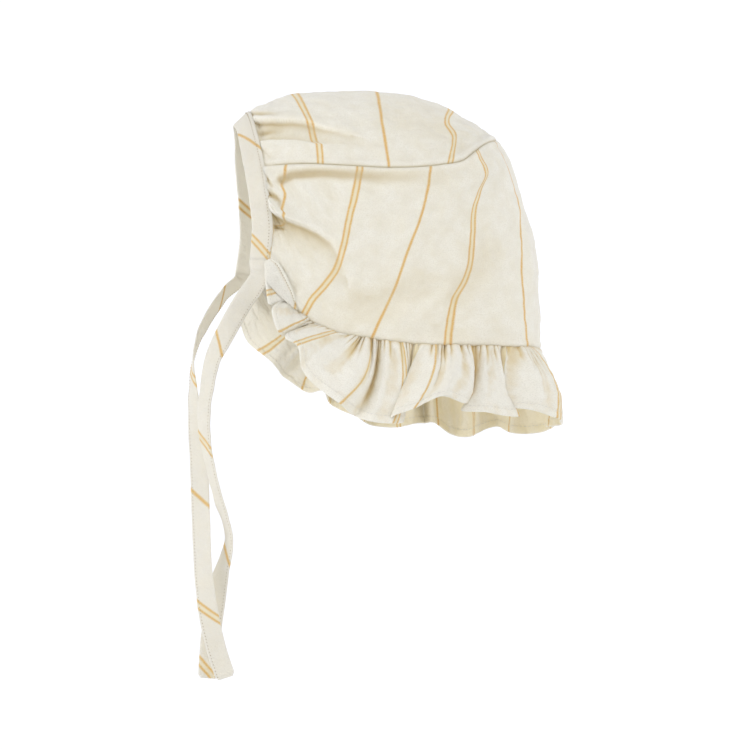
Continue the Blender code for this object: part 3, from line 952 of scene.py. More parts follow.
@dataclass(frozen=True)
class Cotton:
    """Plain woven cotton with fine golden stripes, single and double by turns."""

    name: str
    cream: tuple = (0.868, 0.832, 0.722, 1)
    shade: tuple = (0.800, 0.750, 0.622, 1)
    fleck: tuple = (0.735, 0.690, 0.580, 1)
    gold: tuple = (0.700, 0.440, 0.135, 1)
    pale: tuple = (0.790, 0.670, 0.430, 1)   # between the lines of a double stripe
    deep: tuple = (0.570, 0.472, 0.285, 1)   # painted shade in the folds
    painted_glow: tuple = (0.970, 0.920, 0.780, 1)   # painted light: the colour toward which light through the cloth is painted in
    line: float = 0.00056       # half a line of a double stripe
    apart: float = 0.00140      # from the middle of a double stripe to its lines
    single: float = 0.00078     # half a single stripe
    wander: float = 0.0009      # how far a stripe strays
    thread: float = 0.00050     # one thread to the next
    crumple: float = 6.0        # heights in the bump, times its distance
    wrinkle: float = 1.4
    slub: float = 0.36
    weave: float = 0.18
    bump: float = 0.00030       # the bump's distance
    roughness: float = 0.88
    through: float = 0.8        # share of the light that goes into the cloth

    def stripes(self, kit: NodeKit, x: Value, y: Value) -> tuple:
        """The golden lines, worn unevenly, and the pale cloth inside a double stripe.

        A stripe's number is the first coordinate over the pitch. It is single where the squared
        sine of a quarter turn for each number is one, at the odd numbers, and double elsewhere.

        Args:
            kit: maker of the nodes.
            x: cloth coordinate across the stripes.
            y: cloth coordinate along them.

        Returns:
            Shares of the golden and of the pale colour.
        """
        number = (x + (kit.noise(x, y, (60, 60)) - 0.5) * self.wander) / PITCH
        nearest = number.nearest()
        off = (number - nearest) * PITCH
        odd = abs(nearest * (math.pi / 2)).sine().math("POWER", 2.0)
        lines = (abs(off) - self.apart).band(self.line, 0.0008) * (1 - odd)
        lines = lines + off.band(self.single, 0.0009) * odd
        wear = 0.40 + kit.noise(x, y, (1100, 1500), 3.0) * 0.95
        filled = off.band(self.apart, 0.0006) * (1 - odd) * 0.55
        return (lines * wear).clipped(), filled

    def colour(self, kit: NodeKit, x: Value, y: Value, mottle: Value, slubs: Value) -> Socket:
        """Mottled cream under slubs, flecks, painted light through the cloth, stripes and painted shade
        in the folds.

        Args:
            kit: maker of the nodes.
            x: cloth coordinate across the stripes.
            y: cloth coordinate along them.
            mottle: large soft patches.
            slubs: thick threads and grain.

        Returns:
            The colour.
        """
        fleck = kit.noise(x, y, (1500, 1500), 12.0, 1.0)
        fold = kit.node("ShaderNodeAttribute", {"attribute_name": "fold"}).outputs["Fac"]
        fold = Value(kit, fold)
        lines, filled = self.stripes(kit, x, y)
        # Below zero the fold attribute paints light through the cloth, above zero it paints shade in the
        # folds
        layers = (
            ((slubs - 1.5) * 2.6).clipped() * 0.85, ((fleck - 0.46) * 4.0).clipped() * 0.55,
            (fold * -1.0).clipped(), filled, lines, (fold * 0.95).clipped(),
        )
        tints = (self.shade, self.fleck, self.painted_glow, self.pale, self.gold, self.deep)
        colour = kit.blend((mottle * 2.4 - 0.8).clipped(), self.cream, self.shade)
        for share, tint in zip(layers, tints):
            colour = kit.blend(share, colour, tint)
        return colour

    def material(self) -> Finish:
        """The cloth's material, drawn in cloth coordinates.

        The bump is crumples, wrinkles, slubs and the weave, which is the product of the sines of
        both coordinates.

        Returns:
            The material.
        """
        kit = NodeKit(bpy.data.materials.new(self.name))
        x, y = kit.cloth()
        mottle = kit.noise(x, y, (110, 110), 5.0, 4.0)
        slubs = kit.noise(x, y, (320, 2400), 7.0) + kit.noise(x, y, (2400, 320), 9.0)
        slubs = slubs + kit.noise(x, y, (700, 700), 8.0, 3.0)
        warp, weft = ((way * (math.pi / self.thread)).sine() for way in (x, y))
        height = kit.noise(x, y, (85, 85), 2.0, 3.0) * self.crumple
        height = height + kit.noise(x, y, (300, 240), 4.0) * self.wrinkle
        height = height + warp * weft * self.weave + slubs * self.slub
        bump = kit.node("ShaderNodeBump", None,
                        {"Strength": 1.0, "Distance": self.bump, "Height": height})
        return kit.finish({"Metallic": 0.0, "Specular IOR Level": 0.20, "Sheen Weight": 0.15,
                           "Sheen Roughness": 0.5, "Subsurface Weight": self.through,
                           "Subsurface Scale": 0.0040, "Subsurface Radius": (1.0, 1.0, 1.0)},
                          {"Base Color": self.colour(kit, x, y, mottle, slubs),
                           "Normal": bump.outputs[0],
                           "Roughness": self.roughness - 0.06 + mottle * 0.12})


@dataclass(frozen=True)
class Thread:
    """Matt cotton sewing thread."""

    name: str = "sewing_thread"
    # The thread's own colour, darkened by painted shade of the needle holes that show as dark dots along
    # the stitches
    colour: tuple = (0.45, 0.36, 0.22, 1)
    twist: float = 0.0006

    def material(self) -> Finish:
        """The thread's material: painted shade in slanting bands along its twist, in its cloth
        coordinates.

        Returns:
            The material.
        """
        kit = NodeKit(bpy.data.materials.new(self.name))
        x, y = kit.cloth()
        turn = ((x + y) * (LAP / self.twist)).sine() * 0.5 + 0.5
        # Painted shade: darker slanting bands where the grooves of the twist lie
        colour = kit.blend(turn * 0.5, self.colour, tuple(c * 0.8 for c in self.colour[:3]) + (1,))
        return kit.finish({"Metallic": 0.0, "Specular IOR Level": 0.25},
                          {"Base Color": colour, "Roughness": 0.7 + turn * 0.1})


@dataclass(frozen=True)
class Seat:
    """How a finished piece is handed to the frame."""

    node: str
    slot: str
    flat: tuple
    held: str
    rests_on: tuple = ()
    area: float | None = None


def dress(piece: Piece, material: Finish, seat: Seat) -> None:
    """Give a piece its material and body, and hide the part that it replaces.

    Args:
        piece: the finished piece.
        material: its finish.
        seat: what it replaces and how it is held.
    """
    piece.data.materials.append(material)
    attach(piece, "root")
    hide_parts(seat.node)
    list(seat.rests_on)
    LOG.info("%s: %d faces", piece.name, len(piece.data.polygons))


def rolled(distance: Array, radius: float) -> Array:
    """How far a turned edge curves in: a quarter circle of the radius at the edge."""
    t = np.clip(1 - distance / radius, 0, 1)
    return radius * (1 - np.sqrt(1 - t * t))


LOW_CLOTH = (0.10, 0.0025)   # painted shade of low cloth, and how low it then lies
SEAM_LINE = (0.55, 0.0007)   # painted shadow along a seam, and how far it reaches
SEAM_BEAD = (0.0007, 0.0025, 0.0018)   # height of the bead beside a seam, its place and width


def sunk(dark: Array, height: Array, edge: Array) -> Array:
    """Painted shade of a panel: the creases', that of low cloth and a bell along its seams.

    Args:
        dark: painted shade of the creases.
        height: how far the cloth stands out.
        edge: distance from the seams.

    Returns:
        Painted shade from 0 to a little over 1.
    """
    low = LOW_CLOTH[0] * np.clip(-height / LOW_CLOTH[1], 0, 1)
    return np.clip(dark + low + SEAM_LINE[0] * np.exp(-(edge / SEAM_LINE[1]) ** 2), 0, 1.2)


def seam_bead(edge: Array, roll: float) -> Array:
    """The bead over a seam's hidden allowance, a bell of the distance, and the turned edge.

    Args:
        edge: distance from the seam.
        roll: radius of the turned edge.

    Returns:
        How far the cloth stands out.
    """
    height, place, width = SEAM_BEAD
    return height * np.exp(-((edge - place) / width) ** 2) - rolled(edge, roll)


def creased(form: Form, grid: Array, creases: tuple) -> tuple:
    """Sums of the creases' heights and of their painted shade over a panel."""
    return tuple(sum(parts) for parts in zip(*(crease.read(form, grid) for crease in creases)))


def panel_skins(form: Form, grid: Array, height: Array, skip: int) -> list:
    """Outer and inner skin of a panel, the inner one a wall under the lowest cloth about it.

    Args:
        form: the worn form.
        grid: points on the form.
        height: how far the outer skin stands out.
        skip: steps of the outer skin for each step of the inner one.

    Returns:
        Both grids of points in their worn place.
    """
    normals = form.normal(grid)
    outer = grid + normals * height[..., None]
    inner = grid + normals * (eroded(height, skip) - form.wall)[..., None]
    return [form.sway(skin) for skin in (outer, inner)]


def make_stitches(name: str, path: Array, up: Array, material: Finish,
                  gap: float, length: float, radius: float) -> Piece:
    """A line of stitches: small thread bows along a path.

    Each bow is a round section carried along a parabola that leaves the cloth and goes back in.

    Args:
        name: the piece's name.
        path: points on the cloth.
        up: the cloth's outward direction at those points.
        material: the thread's finish.
        gap: one stitch to the next.
        length: length of the thread that shows.
        radius: the thread's radius.

    Returns:
        The stitches, joined into one object that rides on the frame.
    """
    marks = walked(path)
    centre = np.arange(gap, marks[-1] - gap, gap)
    stations, sides = 6, 6
    taper, bowed, hidden = 0.9, 1.6, 0.5     # how far it thins, its height and depth in radii
    station = np.linspace(-1, 1, stations)
    at = centre[:, None] + station * length / 2
    line, lift = straight(marks, path, at), unit(straight(marks, up, at))
    along = unit(np.gradient(line, axis=1))
    across = unit(np.cross(along, lift))
    turn = np.arange(sides) * LAP / sides
    swell = radius * np.sqrt(1 - (taper * station) ** 2)[None, :, None, None]
    bow = line + lift * (radius * (bowed * (1 - station ** 2) - hidden))[None, :, None]
    round_it = across[:, :, None] * np.cos(turn)[:, None] + lift[:, :, None] * np.sin(turn)[:, None]
    points = bow[:, :, None] + swell * round_it
    index = np.arange(points[..., 0].size).reshape(points.shape[:3])
    wrap = np.concatenate([index, index[..., :1]], axis=2)
    corners = (wrap[:, :-1, :-1], wrap[:, :-1, 1:], wrap[:, 1:, 1:], wrap[:, 1:, :-1])
    faces = [np.stack(corners, axis=-1).reshape(-1, 4), index[:, 0, ::-1], index[:, -1]]
    sample = points[0, :2, :2]
    normal = np.cross(sample[0, 1] - sample[0, 0], sample[1, 1] - sample[0, 0])
    if normal @ (sample[0, 0] - bow[0, 0]) < 0:
        faces = [f[:, ::-1] for f in faces]
    cloth = np.stack(np.broadcast_arrays(at[:, :, None], (turn * radius)[None, None]), axis=-1)
    item = make_mesh(name, points.reshape(-1, 3), faces, cloth.reshape(-1, 2))
    item.data.materials.append(material)
    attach(item, "root")
    LOG.info("%s: %d stitches", name, len(centre))
    return item


@dataclass(frozen=True)
class CrownPanel:
    """The tongue of cloth over the top of the head, with stripes across it."""

    form: Form
    rows: int = 223
    columns: int = 223
    skip: int = 3              # outer steps in one inner step
    roll: float = 0.0006
    end: float = 4.92          # stripe number at which the cloth ends at the back
    held: float = 0.006        # how far the seams hold the cloth smooth
    crumple: tuple = ((0.00060, 0.024, 11), (0.00020, 0.008, 12))   # height, length, seed
    dip: tuple = (0.0018, 0.008)   # how far the front lies in under the binding, over what length
    lit: tuple = (0.45, 0.005)     # share of the painted shade that is taken away there, over what length
    painted_glow: float = 0.8          # painted light on the inner skin, for light that comes through the cloth

    def build(self, finish: Finish) -> Piece:
        """Build the crown and dress it.

        Args:
            finish: the cloth's material.

        Returns:
            The crown.
        """
        back = crowded(self.rows, (0, 0.15, 1.2), (1, 0.05, 0.8))
        around = 2 * crowded(self.columns, (0, 0.06, 2.0), (0.14, 0.10, 1.6), (1, 0.05, 1.0)) - 1
        grid = self.form.crown_grid(back, around)
        width = walked(grid, axis=1)
        edge = np.minimum(width, width[:, -1:] - width)
        front = walked(grid, axis=0)
        across = cloth_across(self.form, grid.swapaxes(0, 1), CROWN_STRIPES).T
        cloth = np.stack([np.minimum(across, self.end * PITCH), width - width[:, -1:] / 2], axis=-1)
        height, dark = creased(self.form, grid, CROWN_CREASES)
        for size, length, seed in self.crumple:
            height += size * waves(cloth[..., 0], cloth[..., 1], length, seed)
        height *= ramp(0, self.held, edge)
        height *= mix(0.2, 1.0, ramp(0, 0.0020, front))
        height -= self.dip[0] * np.exp(-(front / self.dip[1]) ** 2)
        height += seam_bead(edge, self.roll)
        # Less painted shade at the front, under the binding
        dark *= 1 - self.lit[0] * np.exp(-(front / self.lit[1]) ** 2)
        skins = panel_skins(self.form, grid, height, self.skip)
        # The fold attribute paints shade in creases and along seams, and light on the inner skin
        piece = make_wall("crown_cloth", *skins, cloth, sunk(dark, height, edge), self.skip,
                          -self.painted_glow)
        dress(piece, finish, Seat("crown_panel", "cotton_cloth", (0.150, 0.160), "draped",
                                  ("side_back_panel",), 0.0185))
        return piece


@dataclass(frozen=True)
class SidePanel:
    """One cloth from the left face edge round the back of the head to the right face edge."""

    form: Form
    rows: int = 181
    columns: int = 451
    skip: int = 3              # outer steps in one inner step
    roll: float = 0.0006
    held: float = 0.005        # how far the seams hold the cloth smooth
    crumple: tuple = ((0.00060, 0.026, 21), (0.00020, 0.009, 22))   # height, length, seed
    pucker: float = 0.0052     # cloth in one pucker beside the binding
    puckered: float = 0.0009   # height of the puckers
    painted_glow: float = 0.8          # painted light on the inner skin, for light that comes through the cloth

    def puckers(self, tall: Array, front: Array) -> Array:
        """Bowed ridges beside the binding, on which the cloth is gathered.

        They are the size of a sine to a power under one and fade from the face edge.

        Args:
            tall: length walked up from the neck seam.
            front: distance from the face edge.

        Returns:
            Heights of about half either way.
        """
        phase = (tall + 0.25 * front) * (math.pi / self.pucker) + 1.6 * np.sin(tall * 170)
        reach = 0.0065 + 0.0035 * np.sin(tall * 90)
        return (np.abs(np.sin(phase)) ** 0.7 - 0.55) * np.exp(-(front / reach) ** 1.5)

    def build(self, finish: Finish) -> Piece:
        """Build the side and back cloth and dress it.

        Args:
            finish: the cloth's material.

        Returns:
            The side and back cloth.
        """
        around = 2 * crowded(self.columns, (0, 0.05, 3.5), (0.10, 0.09, 1.8), (1, 0.04, 1.5)) - 1
        rise = crowded(self.rows, (0, 0.03, 1.5), (0.55, 0.25, 1.6), (1, 0.05, 1.5))
        grid = self.form.side_grid(around, rise)
        tall, wide = (walked(grid, axis=axis) for axis in (0, 1))
        edge = np.minimum(tall, tall[-1:] - tall)
        front = np.minimum(wide, wide[:, -1:] - wide)
        cloth = np.stack([cloth_across(self.form, grid, SIDE_STRIPES), tall], axis=-1)
        height, dark = creased(self.form, grid, SIDE_CREASES)
        for size, length, seed in self.crumple:
            height += size * waves(cloth[..., 0], cloth[..., 1], length, seed)
        height *= ramp(0, self.held, edge) * mix(0.3, 1.0, ramp(0, 0.0015, front))
        puckers = self.puckers(tall, front)
        loose = (ramp(0.12, 0.40, rise) * (1 - ramp(0.88, 1.0, rise)))[:, None]
        height += self.puckered * puckers * loose
        height += seam_bead(edge, self.roll)
        # Painted shade in the hollows between the puckers
        dark += 0.30 * np.clip(-puckers * 1.9, 0, 1) * loose
        skins = panel_skins(self.form, grid, height, self.skip)
        # The fold attribute paints shade in creases and along seams, and light on the inner skin
        piece = make_wall("side_back_cloth", *skins, cloth, sunk(dark, height, edge), self.skip,
                          -self.painted_glow)
        dress(piece, finish, Seat("side_back_panel", "cotton_cloth", (0.440, 0.118), "draped",
                                  ("crown_panel",), 0.0420))
        return piece


# Left half of the ruffle, each row (stripe, seam, forward, fall, flare, bow, sag): a place in
# stripe numbers of the gathered cloth, the share of the half seam from the jaw corner to the nape
# where it is sewn, shares of the depth toward the face, down and away from the neck at its hem,
# and how far the middle of its fall stands forward and down of the straight way
RUFFLE_LEFT = (
    (-0.40, 0.000, 0.08, 0.20, -0.02, 0.00, 0.00), (-0.05, 0.080, 0.20, 0.07, 0.10, 0.00, 0.00),
    (0.20, 0.115, 0.23, 0.12, 0.16, 0.00, 0.00), (0.42, 0.140, 0.17, -0.04, 0.00, 0.00, 0.00),
    (0.66, 0.165, 0.32, -0.01, 0.20, 0.00, 0.00), (1.08, 0.200, 0.32, 0.23, 0.27, 0.00, 0.00),
    (1.42, 0.218, 0.30, 0.12, 0.08, 0.00, 0.00), (1.79, 0.245, 0.42, 0.18, 0.40, 0.00, 0.00),
    (2.03, 0.290, 0.47, 0.20, 0.46, 0.00, 0.00), (2.33, 0.330, 0.61, 0.45, 0.42, 0.00, 0.00),
    (3.02, 0.380, 0.37, 0.87, 0.46, -0.12, 0.06), (3.42, 0.402, 0.28, 0.99, 0.22, -0.07, 0.04),
    (3.66, 0.425, 0.22, 1.04, 0.32, -0.06, 0.03), (4.03, 0.466, 0.10, 1.04, 0.26, -0.07, 0.04),
    (4.32, 0.495, 0.14, 1.00, 0.12, -0.03, 0.04), (4.62, 0.525, 0.46, 0.95, 0.36, 0.04, 0.03),
    (5.00, 0.561, 0.39, 0.84, 0.52, -0.05, 0.02), (5.45, 0.610, 0.33, 0.69, 0.66, -0.03, 0.01),
    (5.82, 0.650, 0.21, 0.76, 0.44, -0.06, 0.02), (6.00, 0.668, 0.16, 0.77, 0.28, -0.04, 0.05),
    (6.16, 0.690, 0.37, 0.84, 0.34, -0.05, 0.05), (6.58, 0.725, 0.26, 0.88, 0.46, 0.00, 0.03),
    (6.80, 0.742, 0.09, 0.91, 0.36, 0.01, 0.01), (7.03, 0.762, -0.07, 0.91, 0.24, 0.10, 0.00),
    (7.30, 0.790, 0.31, 0.82, 0.40, 0.08, 0.02), (7.62, 0.835, 0.27, 0.83, 0.50, -0.05, 0.01),
    (8.05, 0.878, 0.08, 0.94, 0.50, -0.04, 0.00), (8.35, 0.915, 0.10, 0.98, 0.46, 0.00, 0.00),
    (8.70, 0.960, 0.14, 0.99, 0.36, 0.00, 0.00), (9.05, 1.000, 0.12, 0.98, 0.26, 0.00, 0.00),
)

# Right half, each row (seam, forward, fall, flare), and where its stripes are sewn, each row
# (seam, stripe), counted from the other end of the strip
RUFFLE_RIGHT = (
    (0.000, 0.20, 0.31, 0.34), (0.085, 0.26, 0.26, 0.24), (0.150, 0.27, 0.24, 0.44),
    (0.205, 0.26, 0.34, 0.20), (0.260, 0.23, 0.42, 0.46), (0.295, 0.15, 0.56, 0.38),
    (0.325, 0.14, 0.54, 0.12), (0.360, 0.14, 0.69, 0.36), (0.400, 0.05, 0.83, 0.12),
    (0.445, 0.04, 0.90, 0.36), (0.490, -0.08, 0.91, 0.20), (0.530, -0.10, 0.86, 0.06),
    (0.560, -0.06, 0.83, 0.38), (0.590, -0.06, 0.84, 0.10), (0.628, -0.05, 0.97, 0.34),
    (0.682, -0.04, 1.03, 0.28), (0.724, -0.02, 1.00, 0.05), (0.772, 0.06, 0.91, 0.30),
    (0.820, 0.04, 1.00, 0.16), (0.880, 0.12, 1.02, 0.42), (0.945, 0.06, 0.98, 0.34),
)
RUFFLE_CLOTH_RIGHT = ((0.000, -0.92), (0.095, -0.50), (0.190, 0.0), (0.290, 1.0), (0.352, 2.0),
                      (0.420, 3.0), (0.490, 4.0), (0.600, 5.0), (0.710, 6.0), (0.820, 7.0),
                      (0.920, 8.0))
RUFFLE_LAST = 18           # number from which the right half's stripes are counted down

# Sharp valleys of the ruffle, each row (stripe, top, bottom, width, depth): place in stripe
# numbers, shares of the depth where it starts and ends, metres of cloth, metres inward
RUFFLE_VALLEYS = (
    (2.62, 0.00, 0.35, 0.0030, 0.0026), (3.40, 0.00, 0.90, 0.0034, 0.0020),
    (4.36, 0.00, 0.70, 0.0034, 0.0030), (5.25, 0.00, 0.30, 0.0030, 0.0028),
    (6.02, 0.00, 0.75, 0.0040, 0.0030), (7.08, 0.00, 0.90, 0.0036, 0.0034),
    (7.45, 0.02, 0.40, 0.0034, 0.0026), (1.42, 0.00, 0.90, 0.0036, 0.0026),
    (0.42, 0.00, 0.90, 0.0030, 0.0020),
)


@dataclass(frozen=True)
class NeckRuffle:
    """The gathered strip sewn under the neck edge, flaring out in uneven waves."""

    form: Form
    depth: float = 0.046
    wall: float = 0.0007
    rows: int = 46
    columns: int = 860
    free: float = 0.012        # share of each half seam that stays free beside the tie
    tuck: float = 0.0012       # how far the gathered edge lies under the panel
    gather: float = 0.0058     # cloth in one gather
    gathered: float = 0.0046   # height of the gathers
    broad: float = 0.017       # cloth in one broad wave
    broad_height: float = 0.0012
    crumple: tuple = ((0.00045, 0.013, 31), (0.00022, 0.0055, 32))   # height, wave length, seed
    hem: float = 0.0042
    turned: float = 0.00018    # how much the turned hem adds on each side
    cut: float = 0.0320        # area of the strip, which is cut narrower toward both ends

    def frames(self) -> tuple:
        """The neck seam, walked from left to right.

        Returns:
            Places from -1 over 0 at the nape to 1, points, outward and downward directions.
        """
        around = np.linspace(-1, 1, 1601)
        edge, inside = self.form.side_grid(around, np.array([0.0, 0.01]))
        normal = self.form.normal(edge)
        across = unit(np.cross(normal, unit(np.gradient(edge, axis=0))))
        down = across * -np.sign(np.sum(across * (inside - edge), axis=-1))[:, None]
        length = walked(edge)
        nape = length[len(length) // 2]
        place = np.where(around <= 0, length / nape - 1, (length - nape) / (length[-1] - nape))
        return place, edge, normal, down

    def rows_table(self) -> Array:
        """Both halves' rows from left to right.

        Returns:
            Rows (stripe, place, the rest as in RUFFLE_LEFT).
        """
        left = [(stripe, seam - 1, *rest) for stripe, seam, *rest in RUFFLE_LEFT]
        seams, stripes = np.array(RUFFLE_CLOTH_RIGHT).T
        right = [(RUFFLE_LAST - np.interp(seam, seams, stripes), 1 - seam, *rest, 0, 0)
                 for seam, *rest in reversed(RUFFLE_RIGHT)]
        return np.array(left + right)

    def phase(self, cloth: Array) -> Array:
        """Phase of the gathers, half a turn for each, unevenly along the strip."""
        return cloth * (math.pi / self.gather) + 1.9 * np.sin(cloth * 190) + 1.2 * np.sin(cloth * 83)

    def fall(self, table: Array, number: Array, inner: Array, v: Array) -> tuple:
        """The strip before its gathers.

        Each column leaves the seam and goes to its hem point, swung outward by a quarter sine and
        bowed by a half sine. Near the strip's ends a power of the share swings it out later.

        Args:
            table: both halves' rows.
            number: stripe number of each column.
            inner: stripes from there to the nearer end.
            v: shares of the depth.

        Returns:
            Grid of points, level outward direction of each column, and its flare.
        """
        place, forward, fall, flare, bow, sag = smooth(table[:, 0], table[:, 1:], number).T
        place = np.clip(np.maximum.accumulate(place), self.free - 1, 1 - self.free)
        knots, *vectors = self.frames()
        seam, normal, down = (straight(knots, vector, place) for vector in vectors)
        normal, down = unit(normal), unit(down)
        away = unit(normal * (1, 1, 0))
        swing, half = np.sin(math.pi / 2 * v), np.sin(math.pi * v)
        line = seam - down * self.tuck - normal * self.form.wall
        ahead = forward[:, None] * v + bow[:, None] * half
        below = fall[:, None] * v + sag[:, None] * half
        way = np.stack([-ahead, 0 * ahead, -below], axis=-1)
        late = (1 - ramp(1.0, 1.9, inner))[:, None]
        lift = flare[:, None] * mix(swing, v ** 2.2, late)
        return line[:, None] + self.depth * (way + lift[..., None] * away[:, None]), away, flare

    def relief(self, number: Array, inner: Array, v: Array) -> Array:
        """How far the gathered cloth stands out from its fall.

        Gathers are bowed ridges, the size of a sine to a power under one, that fade by an
        exponential from the seam down. Broad waves are sines that fade toward the hem, valleys
        are bells along single columns, and soft waves lie over all.

        Args:
            number: stripe number of each column.
            inner: stripes from there to the nearer end.
            v: shares of the depth.

        Returns:
            Grid of heights.
        """
        cloth = number * PITCH
        ridge = np.abs(np.sin(self.phase(cloth))) ** 0.7 - 0.6
        slack = 0.80 + 0.30 * np.sin(cloth * 61 + 1.0)
        fade = ramp(0, 0.05, v) * np.exp(-v / (0.20 + 0.10 * np.sin(cloth * 130))[:, None])
        height = self.gathered * (ridge * slack * ramp(0.2, 2.4, inner))[:, None] * fade
        broad = np.sin(cloth * (LAP / self.broad) + 1.1 * np.sin(cloth * 47))
        lasting = ramp(0, 0.15, v) * (1 - 0.75 * ramp(0.45, 1, v))
        height += self.broad_height * (broad * ramp(0.4, 1.6, inner))[:, None] * lasting[None]
        for stripe, top, bottom, width, deep in RUFFLE_VALLEYS:
            bell = np.exp(-((number - stripe) * PITCH / width) ** 2)
            length = ramp(top - 0.08, top + 0.04, v) * (1 - ramp(bottom - 0.25, bottom + 0.1, v))
            height -= deep * bell[:, None] * length[None]
        for size, length, seed in self.crumple:
            height += size * waves(cloth[:, None], v[None] * self.depth, length, seed)
        return height

    def shadows(self, cloth: Array, inner: Array, v: Array, height: Array, flare: Array) -> Array:
        """Painted shade in the folds, from 0 to 1, and more beside the seam.

        It grows with low cloth, where a column flares less than the mean about it, and along the
        short pinched lines between the gathers, where the sine of their phase is near zero.

        Args:
            cloth: metres of cloth to each column.
            inner: stripes from there to the nearer end.
            v: shares of the depth.
            height: grid of heights.
            flare: flare of each column.

        Returns:
            Grid of painted shade.
        """
        reach = self.columns // 48
        mean = np.convolve(np.pad(flare, reach, mode="edge"), np.ones(2 * reach + 1), mode="valid")
        hollow = np.clip(mean / (2 * reach + 1) - flare, 0, 0.4)[:, None] * 1.1 * ramp(0, 0.3, v)
        pinch = np.exp(-(np.sin(self.phase(cloth)) / 0.52) ** 2) * ramp(0.3, 1.6, inner)
        short = (0.24 + 0.12 * np.sin(cloth * 130 + 0.6))[:, None]
        dark = np.clip(-height / 0.0030, 0, 1) + hollow
        dark += 1.1 * pinch[:, None] * ramp(0, 0.03, v) * (1 - ramp(0.3, 1.0, v / short))
        return np.clip(dark, 0, 1) + 0.8 * np.exp(-(v / 0.035) ** 2)[None]

    def surface(self) -> tuple:
        """The strip's middle surface, a row for each column of cloth from left to right.

        Returns:
            Grids of points, outward directions, cloth coordinates and painted shade in the folds.
        """
        table = self.rows_table()
        number = np.linspace(table[0, 0], table[-1, 0], self.columns)
        inner = np.minimum(number - number[0], number[-1] - number)
        v = crowded(self.rows, (0, 0.2, 1.5), (0.91, 0.03, 2.0), (1, 0.02, 1.0))
        middle, away, flare = self.fall(table, number, inner, v)
        height = self.relief(number, inner, v)
        middle = middle + height[..., None] * away[:, None]
        face = unit(np.cross(np.gradient(middle, axis=1), np.gradient(middle, axis=0)))
        face *= np.sign(np.sum(face * away[:, None], axis=(1, 2), keepdims=True))
        cloth = number * PITCH
        grid = np.stack(np.broadcast_arrays(cloth[:, None], v[None] * self.depth), axis=-1)
        return middle, face, grid, self.shadows(cloth, inner, v, height, flare)

    def painted_inner_glow(self, cloth: Array) -> Array:
        """Painted light on the inner skin: most under the nape, less at the hem, least at the front
        ends.

        Args:
            cloth: grid of cloth coordinates.

        Returns:
            Painted light, below zero, as make_wall takes it.
        """
        ends = np.minimum(cloth[..., 0] - cloth[0, 0, 0], cloth[-1, 0, 0] - cloth[..., 0])
        nape = mix(-0.30, -0.88, ramp(0.04, 0.13, ends))
        return nape * mix(1.0, 0.7, ramp(0.3, 1.0, cloth[..., 1] / self.depth))

    def build(self, finish: Finish, thread: Finish) -> Piece:
        """Build the ruffle with its turned hem and stitches, and dress it.

        Args:
            finish: the cloth's material.
            thread: the stitches' material.

        Returns:
            The ruffle.
        """
        middle, face, cloth, fold = self.surface()
        line = self.depth - self.hem
        thick = self.wall / 2 + ramp(line - 0.0003, line + 0.0003, cloth[..., 1]) * self.turned
        skins = [self.form.sway(middle + face * (sign * thick)[..., None]) for sign in (1, -1)]
        # The wall takes painted shade in the folds and painted light on its inner skin
        piece = make_wall("ruffle_cloth_gathered", *skins, cloth, fold, 1, self.painted_inner_glow(cloth))
        row = int(np.argmin(np.abs(cloth[0, :, 1] - line)))
        stitches = [make_stitches(f"ruffle_hem_stitches_{name}", skin[:, row], face[:, row] * sign,
                                  thread, gap=0.0026, length=0.0019,
                                  radius=0.00011)
                    for name, skin, sign in (("outer", skins[0], 1), ("inner", skins[1], -1))]
        width = float(cloth[-1, 0, 0] - cloth[0, 0, 0])
        dress(piece, finish, Seat("neck_ruffle", "ruffle_cloth", (width, self.depth), "gathered",
                                  ("side_back_panel",), self.cut))
        return piece


def tape_profile(count: int, half_thick: float, stitched: float) -> tuple:
    """Section of a folded tape: shares across it and heights, round once.

    The height is the half thickness times the square root of one less the eighth power of the
    place across, less a bell's share of it where the edge stitches draw it in.

    Args:
        count: points round the section.
        half_thick: half of the tape's thickness.
        stitched: place of the stitches across, from -1 to 1.

    Returns:
        Places across from -1 to 1, and heights.
    """
    turn = np.arange(count) * LAP / count
    across = np.sign(np.cos(turn)) * np.abs(np.cos(turn)) ** 0.6
    height = np.sign(np.sin(turn)) * half_thick * (1 - np.abs(across) ** 8) ** 0.5
    return across, height * (1 - 0.15 * np.exp(-((across - stitched) / 0.10) ** 2))


def tape_cloth(s: Array, t: Array, marks: tuple, slant: Array | float) -> Array:
    """Cloth coordinates of a bias tape whose stripes cross it at chosen places.

    Args:
        s: length along the tape.
        t: length across it.
        marks: rows (length along, stripe number) where a stripe meets the middle of the tape.
        slant: how far along a stripe moves for each length across.

    Returns:
        Cloth coordinates in metres.
    """
    table = np.array(marks)
    x = smooth(table[:, 0], table[:, 1], s + slant * t) * PITCH
    return np.stack([x, (s - slant * t) * math.sqrt(0.5)], axis=-1)


def stitched_points(across: Array, height: Array, stitched: float) -> tuple:
    """Numbers of the section's points nearest the stitches, on its upper and its lower face."""
    off = np.abs(across - stitched)
    return tuple(int(np.argmin(off + (sign * height < 0))) for sign in (1, -1))


